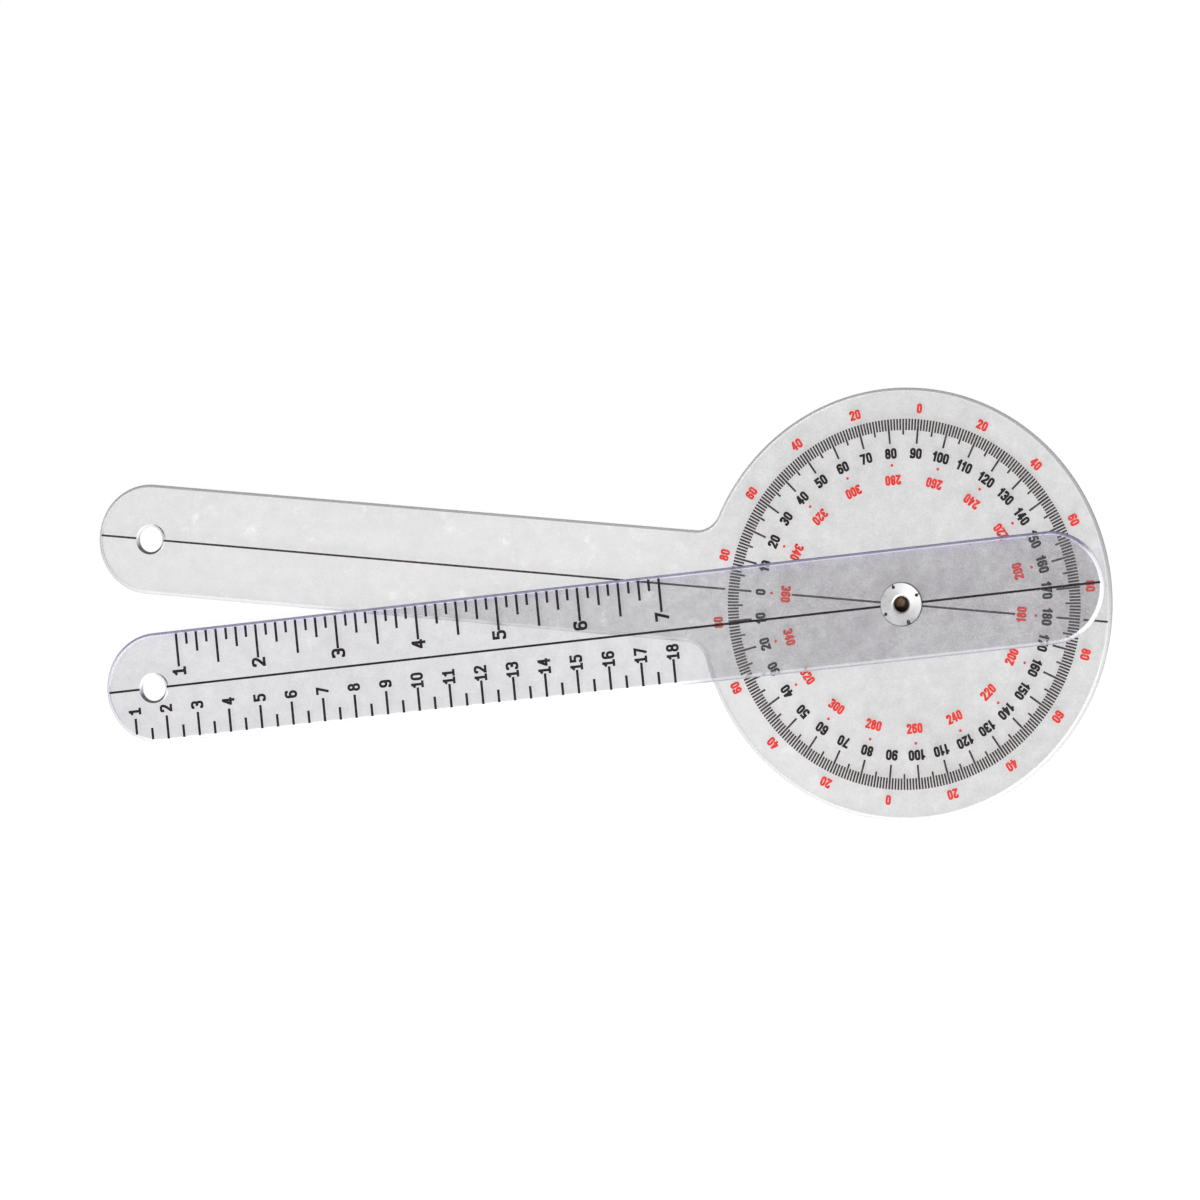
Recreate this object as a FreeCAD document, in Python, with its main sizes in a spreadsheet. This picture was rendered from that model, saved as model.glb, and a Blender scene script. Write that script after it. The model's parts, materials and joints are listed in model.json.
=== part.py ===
import FreeCAD, Part
import math
import os

import Sketcher

# Clear angle finder: a dial with its own arm, a ruler arm that swings over it, and a
# semi-tubular rivet that joins the two. Millimetres, +Z up. The origin is on the swing axis,
# in the plane of the dial arm's underside, and the dial arm lies along -X.

# Driving dimensions: alias, value, what it measures.
SIZES = [
    ("dial_sheet", 2.0, "thickness of the dial arm's sheet"),
    ("ruler_sheet", 2.0, "thickness of the ruler arm's sheet"),
    ("edge_bevel", 0.4, "bevel round the sheets' outer edges"),
    ("head_diameter", 125.0, "the dial head"),
    ("head_blend", 7.0, "radius between the head and its arm"),
    ("dial_arm_width", 32.5, "width of the dial's arm"),
    ("dial_arm_reach", 252.5, "swing axis to the tip of the dial's arm"),
    ("ruler_arm_width", 32.5, "width of the ruler arm"),
    ("ruler_arm_reach", 249.5, "swing axis to the tip of the ruler arm"),
    ("ruler_arm_tail", 61.0, "swing axis to the short end of the ruler arm"),
    ("hang_hole", 7.5, "diameter of the hanging holes"),
    ("dial_hang_inset", 16.5, "tip of the dial's arm to its hanging hole"),
    ("ruler_hang_inset", 15.0, "tip of the ruler arm to its hanging hole"),
    ("arm_angle", 10.75, "angle between the two arms as stored, degrees"),
    ("hollow_bore", 4.4, "bore of the rivet's hollow end"),
    ("hollow_wall", 0.4, "wall of the rivet's hollow end"),
    ("hollow_floor", 0.4, "dial arm's underside to the floor of the hollow"),
    ("floor_taper", 0.8, "taper from the hollow's wall to its floor"),
    ("clench_diameter", 12.5, "diameter of the clenched flange"),
    ("clench_sheet", 0.5, "thickness of the clenched flange"),
    ("mouth_roll", 0.7, "radius where the hollow end rolls out into the flange"),
    ("rim_bevel", 0.15, "bevel on the clenched flange's outer edge"),
    ("back_head_diameter", 11.0, "diameter of the rivet's solid head"),
    ("back_head_height", 0.9, "height of the rivet's solid head"),
    ("back_head_round", 0.6, "radius on the solid head's outer edge"),
    ("swing_clearance", 0.05, "radial running clearance of the ruler arm's bore"),
    ("arm_gap", 0.12, "air between the two arms"),
    ("flange_gap", 0.08, "air under the clenched flange"),
    ("split_radius", 5.4, "centre of each relief hole in the clenched flange"),
    ("split_hole", 1.0, "diameter of the relief holes"),
    ("split_slit", 0.3, "width of the slit from a relief hole to the rim"),
    ("open_split_slit", 1.1, "width of the one slit that was torn open"),
    ("ink_film", 0.03, "thickness of the printed ink"),
    ("ring_inset", 9.0, "edge of the head to the outer ends of the degree marks"),
    ("degree_mark", 3.3, "length of a one-degree mark"),
    ("five_degree_mark", 4.6, "length of a five-degree mark"),
    ("ten_degree_mark", 7.1, "length of a ten-degree mark"),
    ("fine_line", 0.55, "width of the one-degree and five-degree marks"),
    ("bold_line", 0.6, "width of the ten-degree marks"),
    ("dot_inset", 13.3, "degree ring to the circle of red dots"),
    ("dot_size", 0.9, "diameter of a red dot"),
    ("dial_line", 0.6, "width of the dial's centre line"),
    ("number_band", 19.5, "degree ring to the inside of the numbered band"),
    ("ring_margin", 1.0, "ring to the end of the dial's centre line"),
    ("edge_margin", 0.9, "print to the edge of its sheet"),
    ("hole_margin", 0.6, "print to the edge of a hanging hole"),
    ("flange_lap", 0.8, "how far the lines run in under the flange"),
    ("ruler_line", 0.65, "width of the ruler's centre line"),
    ("scale_line", 0.78, "width of the inch and centimetre marks"),
    ("scale_zero", 1.5, "zero of both scales beyond the ruler arm's tip"),
    ("inch", 25.4, "one inch"),
    ("centimetre", 10.0, "one centimetre"),
    ("half_inch_mark", 9.8, "length of the inch and half-inch marks"),
    ("quarter_inch_mark", 5.8, "length of the quarter-inch marks"),
    ("eighth_inch_mark", 3.4, "length of the eighth-inch marks"),
    ("centimetre_mark", 6.9, "length of the centimetre marks"),
    ("half_centimetre_mark", 3.7, "length of the half-centimetre marks"),
]

# Steps and counts that belong to the scales themselves: degrees, then whole units.
CIRCLE = 360
TEN = 10
FIVE = 5
DOT_STEP = 20
OCTAGON = 8
LAST_INCH = 7
LAST_CENTIMETRE = 18

# Directions of the clenched flange's splits, degrees round from +X, and the torn one.
SPLITS = [("split_east", 34.0), ("split_north", 120.0), ("split_west", 217.0)]
OPEN_SPLIT = ("split_south", 299.0)

# The air and sheets between the rivet's head and flange, the rivet's shank, and the degree ring.
STACK = "Sizes.dial_sheet + Sizes.arm_gap + Sizes.ruler_sheet + Sizes.flange_gap"
SHANK = "(Sizes.hollow_bore + 2 * Sizes.hollow_wall)"
RING = "(Sizes.head_diameter / 2 - Sizes.ring_inset)"
# Half the ruler arm's width, and how far from its centre line the scales' marks start.
HALF_RULER = "(Sizes.ruler_arm_width / 2)"
STRAIGHT_EDGE = "Sizes.ruler_arm_width / 2 - Sizes.edge_margin"

UP, DOWN = 1, -1  # the ruler arm's two long edges
OUT_DIR = "parts"
EASE = 1.0  # how far a cut runs past the surface that it has to clear
SAME = 1e-6  # lengths closer than this are equal
UPRIGHT = 0.5  # least rise of an edge that stands up

doc = FreeCAD.newDocument("AngleFinder")


# ---------------------------------------------------------------- the sheet of sizes


def write_sizes():
    """Put every driving dimension into the spreadsheet, one row each."""
    sheet = doc.addObject("Spreadsheet::Sheet", "Sizes")
    rows = SIZES + [(name + "_angle", angle, "direction") for name, angle in SPLITS]
    rows.append((OPEN_SPLIT[0] + "_angle", OPEN_SPLIT[1], "direction"))
    for row, (alias, value, meaning) in enumerate(rows, start=1):
        sheet.set(f"A{row}", meaning)
        sheet.set(f"B{row}", str(value))
        sheet.setAlias(f"B{row}", alias)
    doc.recompute()
    return sheet


SHEET = write_sizes()


def size(alias):
    """The value of one driving dimension."""
    return float(getattr(SHEET, alias))


def shank_radius():
    """The radius of the rivet's shank."""
    return size("hollow_bore") / 2 + size("hollow_wall")


def ring_radius():
    """From the swing axis to the outer ends of the degree marks."""
    return size("head_diameter") / 2 - size("ring_inset")


# ---------------------------------------------------------------- sketches and features


def new_body(label, several_solids=False):
    """A body whose label names its file."""
    body = doc.addObject("PartDesign::Body", label)
    body.Label = label
    body.AllowCompound = several_solids
    return body


def origin_item(body, role):
    """One of the body's own origin planes or axes."""
    return next(item for item in body.Origin.OriginFeatures if item.Role == role)


def new_sketch(body, name, level=None, turn=None):
    """A sketch parallel to the body's XY plane, raised to a level and turned about Z."""
    sketch = body.newObject("Sketcher::SketchObject", name)
    sketch.AttachmentSupport = [(origin_item(body, "XY_Plane"), "")]
    sketch.MapMode = "FlatFace"
    if level:
        sketch.setExpression("AttachmentOffset.Base.z", level)
    if turn:
        sketch.setExpression("AttachmentOffset.Rotation.Angle", turn)
    return sketch


def drive(sketch, constraint, formula):
    """Add a dimension to a sketch and bind it to the sheet."""
    index = sketch.addConstraint(constraint)
    sketch.setExpression(f"Constraints[{index}]", formula)


def add_circle(sketch, radius, diameter_formula, distance=0.0, distance_formula=None):
    """A circle on the sketch's X axis, at a distance on its negative side."""
    centre = FreeCAD.Vector(-distance, 0, 0)
    circle = sketch.addGeometry(Part.Circle(centre, FreeCAD.Vector(0, 0, 1), radius), False)
    if distance_formula:
        sketch.addConstraint(Sketcher.Constraint("PointOnObject", circle, 3, -1))
        drive(sketch, Sketcher.Constraint("DistanceX", circle, 3, -1, 1, distance), distance_formula)
    else:
        sketch.addConstraint(Sketcher.Constraint("Coincident", circle, 3, -1, 1))
    drive(sketch, Sketcher.Constraint("Diameter", circle, 2 * radius), diameter_formula)
    return circle


def add_octagon(sketch, radius, diameter_formula, distance, distance_formula):
    """An eight-sided spot inside a circle on the sketch's negative X axis."""
    circle = add_circle(sketch, radius, diameter_formula, distance, distance_formula)
    sketch.setConstruction(circle, True)
    points = []
    for step in range(OCTAGON):
        angle = 2 * math.pi * (step + 0.5) / OCTAGON
        points.append(FreeCAD.Vector(radius * math.cos(angle) - distance, radius * math.sin(angle), 0))
    sides = []
    for start, end in zip(points, points[1:] + points[:1]):
        sides.append(sketch.addGeometry(Part.LineSegment(start, end), False))
    for side, following in zip(sides, sides[1:] + sides[:1]):
        sketch.addConstraint(Sketcher.Constraint("Coincident", side, 2, following, 1))
        sketch.addConstraint(Sketcher.Constraint("PointOnObject", side, 1, circle))
    for side in sides[1:]:
        sketch.addConstraint(Sketcher.Constraint("Equal", sides[0], side))
    sketch.addConstraint(Sketcher.Constraint("Vertical", sides[-1]))


def add_rectangle(sketch, low, high, formulas):
    """A rectangle between two corners; the formulas place its left, low, right and high sides."""
    corners = [(low[0], low[1]), (high[0], low[1]), (high[0], high[1]), (low[0], high[1])]
    points = [FreeCAD.Vector(x, y, 0) for x, y in corners]
    sides = []
    for start, end in zip(points, points[1:] + points[:1]):
        sides.append(sketch.addGeometry(Part.LineSegment(start, end), False))
    for side, following in zip(sides, sides[1:] + sides[:1]):
        sketch.addConstraint(Sketcher.Constraint("Coincident", side, 2, following, 1))
    for side, direction in zip(sides, ("Horizontal", "Vertical", "Horizontal", "Vertical")):
        sketch.addConstraint(Sketcher.Constraint(direction, side))
    low_corner, high_corner = (sides[0], 1), (sides[1], 2)
    places = [
        ("DistanceX", low_corner, low[0], formulas[0]),
        ("DistanceY", low_corner, low[1], formulas[1]),
        ("DistanceX", high_corner, high[0], formulas[2]),
        ("DistanceY", high_corner, high[1], formulas[3]),
    ]
    for kind, corner, value, formula in places:
        drive(sketch, Sketcher.Constraint(kind, -1, 1, *corner, value), formula)


def add_mark(sketch, left, right, half_width, formulas):
    """A bar along the X axis; the formulas give its left end, right end and half its width."""
    left_formula, right_formula, half_formula = formulas
    low, high = (left, -half_width), (right, half_width)
    add_rectangle(sketch, low, high, (left_formula, f"-({half_formula})", right_formula, half_formula))


def pad(body, sketch, name, length):
    """Raise a sketch by a length from the sheet."""
    feature = body.newObject("PartDesign::Pad", name)
    feature.Profile = sketch
    feature.setExpression("Length", length)
    doc.recompute()
    return feature


def cut_through(body, sketch, name):
    """Cut a sketch that lies on the underside right through the sheet above it."""
    before = body.Shape.Volume
    feature = body.newObject("PartDesign::Pocket", name)
    feature.Profile = sketch
    feature.Type = "ThroughAll"
    feature.Reversed = True
    doc.recompute()
    if body.Shape.Volume >= before:
        raise RuntimeError(f"{name} cuts nothing")
    return feature


def cut_down(body, sketch, name, depth):
    """Cut a sketch downwards by a depth from the sheet."""
    before = body.Shape.Volume
    feature = body.newObject("PartDesign::Pocket", name)
    feature.Profile = sketch
    feature.setExpression("Length", depth)
    doc.recompute()
    if body.Shape.Volume >= before:
        raise RuntimeError(f"{name} cuts nothing")
    return feature


def edges_that(shape, wanted):
    """Names of the edges whose middle point and kind pass a test."""
    names = []
    for number, edge in enumerate(shape.Edges, start=1):
        middle = edge.valueAt((edge.FirstParameter + edge.LastParameter) / 2)
        if wanted(edge, middle):
            names.append(f"Edge{number}")
    return names


def round_edges(body, base, name, radius, wanted):
    """Fillet the edges of a feature that pass a test."""
    feature = body.newObject("PartDesign::Fillet", name)
    feature.Base = (base, edges_that(base.Shape, wanted))
    feature.setExpression("Radius", radius)
    doc.recompute()
    return feature


def bevel_edges(body, base, name, bevel, wanted):
    """Chamfer the edges of a feature that pass a test."""
    feature = body.newObject("PartDesign::Chamfer", name)
    feature.Base = (base, edges_that(base.Shape, wanted))
    feature.setExpression("Size", bevel)
    doc.recompute()
    return feature


def polar(body, features, name, count):
    """Repeat features all the way round the Z axis."""
    pattern = body.newObject("PartDesign::PolarPattern", name)
    pattern.Originals = features
    pattern.Axis = (origin_item(body, "Z_Axis"), [""])
    pattern.Angle = CIRCLE
    pattern.Occurrences = count
    body.Tip = pattern
    doc.recompute()
    return pattern


def row(body, feature, name, count, spacing):
    """Repeat a feature along +X at a spacing from the sheet."""
    pattern = body.newObject("PartDesign::LinearPattern", name)
    pattern.Originals = [feature]
    pattern.Direction = (origin_item(body, "X_Axis"), [""])
    pattern.Mode = "Spacing"
    pattern.Occurrences = count
    pattern.setExpression("Offset", spacing)
    body.Tip = pattern
    doc.recompute()
    return pattern


# ---------------------------------------------------------------- the two clear arms


def arc(centre_x, radius, start, end):
    """An arc about a point on the X axis, between two angles in degrees."""
    circle = Part.Circle(FreeCAD.Vector(centre_x, 0, 0), FreeCAD.Vector(0, 0, 1), radius)
    return Part.ArcOfCircle(circle, math.radians(start), math.radians(end))


def draw_tip(sketch, half, centre, width, reach):
    """Two edges and the half-round tip between them, on the negative side of X."""
    top = sketch.addGeometry(
        Part.LineSegment(FreeCAD.Vector(-centre, half, 0), FreeCAD.Vector(0, half, 0)), False
    )
    tip = sketch.addGeometry(arc(-centre, half, 90, 270), False)
    bottom = sketch.addGeometry(
        Part.LineSegment(FreeCAD.Vector(-centre, -half, 0), FreeCAD.Vector(0, -half, 0)), False
    )
    sketch.addConstraint(Sketcher.Constraint("Tangent", top, 1, tip, 1))
    sketch.addConstraint(Sketcher.Constraint("Tangent", bottom, 1, tip, 2))
    sketch.addConstraint(Sketcher.Constraint("Horizontal", top))
    sketch.addConstraint(Sketcher.Constraint("PointOnObject", tip, 3, -1))
    drive(sketch, Sketcher.Constraint("Radius", tip, half), f"{width} / 2")
    drive(sketch, Sketcher.Constraint("DistanceX", tip, 3, -1, 1, centre), f"{reach} - {width} / 2")
    return top, tip, bottom


def is_outline(edge, faces, hole_radii):
    """True for an outer edge of a flat sheet: on its top or bottom, and not round a hole."""
    heights = [vertex.Z for vertex in edge.Vertexes]
    level = max(heights) - min(heights) < SAME
    on_face = any(abs(heights[0] - face) < SAME for face in faces)
    curve = edge.Curve
    in_hole = isinstance(curve, Part.Circle) and any(abs(curve.Radius - r) < SAME for r in hole_radii)
    return level and on_face and not in_hole


def make_dial_arm():
    """The round head, its arm, the blends between them and the two holes, from one sheet."""
    body = new_body("dial_arm")
    half = size("dial_arm_width") / 2
    reach = size("dial_arm_reach")

    head_sketch = new_sketch(body, "head_outline")
    add_circle(head_sketch, size("head_diameter") / 2, "Sizes.head_diameter")
    pad(body, head_sketch, "head", "Sizes.dial_sheet")

    arm_sketch = new_sketch(body, "dial_arm_outline")
    sides = draw_tip(arm_sketch, half, reach - half, "Sizes.dial_arm_width", "Sizes.dial_arm_reach")
    root = arm_sketch.addGeometry(
        Part.LineSegment(FreeCAD.Vector(0, -half, 0), FreeCAD.Vector(0, half, 0)), False
    )
    arm_sketch.addConstraint(Sketcher.Constraint("Coincident", sides[2], 2, root, 1))
    arm_sketch.addConstraint(Sketcher.Constraint("Coincident", root, 2, sides[0], 2))
    arm_sketch.addConstraint(Sketcher.Constraint("Vertical", root))
    arm_sketch.addConstraint(Sketcher.Constraint("PointOnObject", root, 1, -2))
    arm = pad(body, arm_sketch, "arm", "Sizes.dial_sheet")

    def in_corner(edge, middle):
        upright = abs(edge.tangentAt(edge.FirstParameter).z) > UPRIGHT
        at_side = abs(abs(middle.y) - half) < SAME
        return upright and at_side and half - reach < middle.x < 0

    blend = round_edges(body, arm, "head_blends", "Sizes.head_blend", in_corner)

    hang_radius = size("hang_hole") / 2
    hole_sketch = new_sketch(body, "dial_holes")
    add_circle(hole_sketch, shank_radius(), SHANK)
    add_circle(
        hole_sketch,
        hang_radius,
        "Sizes.hang_hole",
        reach - size("dial_hang_inset"),
        "Sizes.dial_arm_reach - Sizes.dial_hang_inset",
    )
    holes = cut_through(body, hole_sketch, "holes")

    faces = (0, size("dial_sheet"))
    radii = (shank_radius(), hang_radius)
    bevel_edges(
        body, holes, "outer_bevel", "Sizes.edge_bevel", lambda edge, middle: is_outline(edge, faces, radii)
    )
    return body


def make_ruler_arm():
    """The swinging arm: one sheet with two half-round ends, its bore and its hanging hole."""
    body = new_body("ruler_arm")
    half = size("ruler_arm_width") / 2
    reach = size("ruler_arm_reach")
    tail = size("ruler_arm_tail")

    outline = new_sketch(body, "ruler_arm_outline")
    top, tip, bottom = draw_tip(
        outline, half, reach - half, "Sizes.ruler_arm_width", "Sizes.ruler_arm_reach"
    )
    end = outline.addGeometry(arc(tail - half, half, -90, 90), False)
    outline.addConstraint(Sketcher.Constraint("Tangent", bottom, 2, end, 1))
    outline.addConstraint(Sketcher.Constraint("Tangent", top, 2, end, 2))
    outline.addConstraint(Sketcher.Constraint("PointOnObject", end, 3, -1))
    drive(
        outline,
        Sketcher.Constraint("DistanceX", -1, 1, end, 3, tail - half),
        "Sizes.ruler_arm_tail - Sizes.ruler_arm_width / 2",
    )
    pad(body, outline, "blank", "Sizes.ruler_sheet")

    bore_radius = shank_radius() + size("swing_clearance")
    hang_radius = size("hang_hole") / 2
    hole_sketch = new_sketch(body, "ruler_holes")
    add_circle(hole_sketch, bore_radius, f"{SHANK} + 2 * Sizes.swing_clearance")
    add_circle(
        hole_sketch,
        hang_radius,
        "Sizes.hang_hole",
        reach - size("ruler_hang_inset"),
        "Sizes.ruler_arm_reach - Sizes.ruler_hang_inset",
    )
    holes = cut_through(body, hole_sketch, "holes")

    faces = (0, size("ruler_sheet"))
    radii = (bore_radius, hang_radius)
    bevel_edges(
        body, holes, "outer_bevel", "Sizes.edge_bevel", lambda edge, middle: is_outline(edge, faces, radii)
    )
    place_over_dial(body, "Sizes.dial_sheet + Sizes.arm_gap")
    return body


def place_over_dial(body, level):
    """Raise a body that swings with the ruler arm, and turn it to the stored angle."""
    body.setExpression("Placement.Base.z", level)
    body.setExpression("Placement.Rotation.Angle", "Sizes.arm_angle")
    doc.recompute()


# ---------------------------------------------------------------- the rivet


def disc(body, name, level, diameter, length):
    """A round slab about the swing axis, raised from a level; returns its pad."""
    sketch = new_sketch(body, name + "_outline", level)
    add_circle(sketch, size("clench_diameter") / 2, diameter)
    return pad(body, sketch, name, length)


def cut_split(body, name, level, slit):
    """One split of the clenched flange: a relief hole on its circle and a slit to the rim."""
    turn = f"Sizes.{name}_angle"
    depth = "Sizes.clench_sheet"
    hole_sketch = new_sketch(body, name + "_relief", level, turn + " + 180")
    add_circle(
        hole_sketch, size("split_hole") / 2, "Sizes.split_hole", size("split_radius"), "Sizes.split_radius"
    )
    cut_down(body, hole_sketch, name + "_hole", depth)
    slit_sketch = new_sketch(body, name + "_slit", level, turn)
    rim = size("clench_diameter") / 2
    add_mark(
        slit_sketch,
        size("split_radius"),
        rim + EASE,
        size("split_slit") / 2,
        ("Sizes.split_radius", f"Sizes.clench_diameter / 2 + {EASE}", f"{slit} / 2"),
    )
    cut_down(body, slit_sketch, name + "_cut", depth)


def ring_edge(level, radius):
    """A test for the round edge about the swing axis at a level and radius."""

    def wanted(edge, middle):
        return abs(middle.z - level) < SAME and abs(math.hypot(middle.x, middle.y) - radius) < SAME

    return wanted


def make_rivet():
    """Semi-tubular rivet: a solid head and shank, and a hollow end clenched into four lobes."""
    body = new_body("rivet")
    under_flange = f"{STACK} + Sizes.back_head_height"
    top_level = f"{under_flange} + Sizes.clench_sheet"
    disc(body, "back_head", None, "Sizes.back_head_diameter", "Sizes.back_head_height")
    disc(body, "shank", "Sizes.back_head_height", SHANK, STACK)
    flange = disc(body, "flange", under_flange, "Sizes.clench_diameter", "Sizes.clench_sheet")

    top = flange.Shape.BoundBox.ZMax
    bore = size("hollow_bore") / 2
    floor = size("back_head_height") + size("hollow_floor")
    hollow_sketch = new_sketch(body, "hollow_outline", top_level)
    add_circle(hollow_sketch, bore, "Sizes.hollow_bore")
    hollow = cut_down(body, hollow_sketch, "hollow", f"{STACK} + Sizes.clench_sheet - Sizes.hollow_floor")

    mouth = round_edges(body, hollow, "rolled_mouth", "Sizes.mouth_roll", ring_edge(top, bore))
    taper = bevel_edges(body, mouth, "tapered_floor", "Sizes.floor_taper", ring_edge(floor, bore))
    head_edge = ring_edge(0, size("back_head_diameter") / 2)
    head = round_edges(body, taper, "rounded_head", "Sizes.back_head_round", head_edge)
    rim_edge = ring_edge(top, size("clench_diameter") / 2)
    bevel_edges(body, head, "flange_bevel", "Sizes.rim_bevel", rim_edge)

    for name, _ in SPLITS:
        cut_split(body, name, top_level, "Sizes.split_slit")
    cut_split(body, OPEN_SPLIT[0], top_level, "Sizes.open_split_slit")
    body.setExpression("Placement.Base.z", "-Sizes.back_head_height")
    doc.recompute()
    return body


# ---------------------------------------------------------------- the printed scales


def ring_marks(body, name, length, width, turns, count):
    """Marks that end on the degree ring, one at each turn in degrees, repeated all the way round."""
    outer = ring_radius()
    formulas = (f"-{RING}", f"Sizes.{length} - {RING}", f"Sizes.{width} / 2")
    marks = []
    for turn in turns:
        sketch = new_sketch(body, f"{name}_{turn}_outline", turn=f"{turn} deg")
        add_mark(sketch, -outer, size(length) - outer, size(width) / 2, formulas)
        marks.append(pad(body, sketch, f"{name}_{turn}", "Sizes.ink_film"))
    return polar(body, marks, name + "s", count)


def centre_line(body, width, stretches):
    """An arm's centre line, broken into stretches; each end is a (value, formula)."""
    sketch = new_sketch(body, "centre_line_outline")
    for left, right in stretches:
        add_mark(sketch, left[0], right[0], size(width) / 2, (left[1], right[1], f"Sizes.{width} / 2"))
    return pad(body, sketch, "centre_line", "Sizes.ink_film")


def line_ends(reach, inset):
    """Where a centre line starts at its arm's tip and breaks at its hanging hole."""
    tip = -size(reach)
    centre = size(inset) - size(reach)
    clear = size("hang_hole") / 2 + size("hole_margin")
    hole = f"Sizes.{inset} - Sizes.{reach}"
    clear_formula = "(Sizes.hang_hole / 2 + Sizes.hole_margin)"
    start = (tip + size("edge_margin"), f"Sizes.edge_margin - Sizes.{reach}")
    break_start = (centre - clear, f"{hole} - {clear_formula}")
    break_end = (centre + clear, f"{hole} + {clear_formula}")
    return start, break_start, break_end


def flange_ends():
    """Where the centre lines run in under the clenched flange, left and right of the axis."""
    under = size("clench_diameter") / 2 - size("flange_lap")
    formula = "Sizes.clench_diameter / 2 - Sizes.flange_lap"
    return (-under, f"-({formula})"), (under, formula)


def make_dial_scale():
    """Black ink on the head: the dial's centre line and the degree ring, on the sheet's top."""
    body = new_body("dial_scale", several_solids=True)
    start, break_start, break_end = line_ends("dial_arm_reach", "dial_hang_inset")
    flange_left, flange_right = flange_ends()
    outside = ring_radius() + size("ring_margin")
    outside_formula = f"({RING} + Sizes.ring_margin)"
    band = ring_radius() - size("number_band")
    band_formula = f"({RING} - Sizes.number_band)"
    rim = size("head_diameter") / 2 - size("edge_margin")
    stretches = [
        (start, break_start),
        (break_end, (-outside, f"-{outside_formula}")),
        ((-band, f"-{band_formula}"), flange_left),
        (flange_right, (band, band_formula)),
        ((outside, outside_formula), (rim, "Sizes.head_diameter / 2 - Sizes.edge_margin")),
    ]
    centre_line(body, "dial_line", stretches)
    ring_marks(body, "ten_degree_mark", "ten_degree_mark", "bold_line", [0], CIRCLE // TEN)
    ring_marks(body, "five_degree_mark", "five_degree_mark", "fine_line", [FIVE], CIRCLE // TEN)
    ring_marks(body, "degree_mark", "degree_mark", "fine_line", range(1, FIVE), CIRCLE // FIVE)
    body.setExpression("Placement.Base.z", "Sizes.dial_sheet")
    doc.recompute()
    return body


def make_dial_dots():
    """Red ink on the head: a circle of dots, one every twenty degrees."""
    body = new_body("dial_dots", several_solids=True)
    sketch = new_sketch(body, "dot_outline")
    distance = ring_radius() - size("dot_inset")
    add_octagon(sketch, size("dot_size") / 2, "Sizes.dot_size", distance, f"{RING} - Sizes.dot_inset")
    polar(body, [pad(body, sketch, "dot", "Sizes.ink_film")], "dots", CIRCLE // DOT_STEP)
    body.setExpression("Placement.Base.z", "Sizes.dial_sheet")
    doc.recompute()
    return body


def scale_mark(body, name, length, side, first, outer):
    """One mark across a scale; where it is along the scale and its outer end are (value, formula)."""
    sketch = new_sketch(body, name + "_outline")
    half_line = size("scale_line") / 2
    edge = size("ruler_arm_width") / 2 - size("edge_margin")
    zero = -size("ruler_arm_reach") - size("scale_zero")
    place = zero + first[0]
    place_formula = f"{first[1]} - Sizes.ruler_arm_reach - Sizes.scale_zero"
    inner = f"{STRAIGHT_EDGE} - Sizes.{length}"
    if side == UP:
        low, high = edge - size(length), outer[0]
        low_formula, high_formula = inner, outer[1]
    else:
        low, high = -outer[0], size(length) - edge
        low_formula, high_formula = f"-({outer[1]})", f"-({inner})"
    add_rectangle(
        sketch,
        (place - half_line, low),
        (place + half_line, high),
        (
            f"{place_formula} - Sizes.scale_line / 2",
            low_formula,
            f"{place_formula} + Sizes.scale_line / 2",
            high_formula,
        ),
    )
    return pad(body, sketch, name, "Sizes.ink_film")


def scale_row(body, name, side, first, count, spacing):
    """A row of marks from one straight edge inwards; first is a (value, formula)."""
    edge = size("ruler_arm_width") / 2 - size("edge_margin")
    mark = scale_mark(body, name, name + "_mark", side, first, (edge, STRAIGHT_EDGE))
    return row(body, mark, name + "s", count, spacing)


def tip_mark(body, name, length, first):
    """A centimetre mark beside the ruler arm's half-round tip, which it stops short of."""
    half = size("ruler_arm_width") / 2
    beyond = half + size("scale_zero") + size("scale_line") / 2 - first[0]
    beyond_formula = f"({HALF_RULER} + Sizes.scale_zero + Sizes.scale_line / 2 - {first[1]})"
    outer = math.sqrt(half**2 - beyond**2) - size("edge_margin")
    outer_formula = f"sqrt({HALF_RULER}^2 - {beyond_formula}^2) - Sizes.edge_margin"
    return scale_mark(body, name, length, DOWN, first, (outer, outer_formula))


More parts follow.
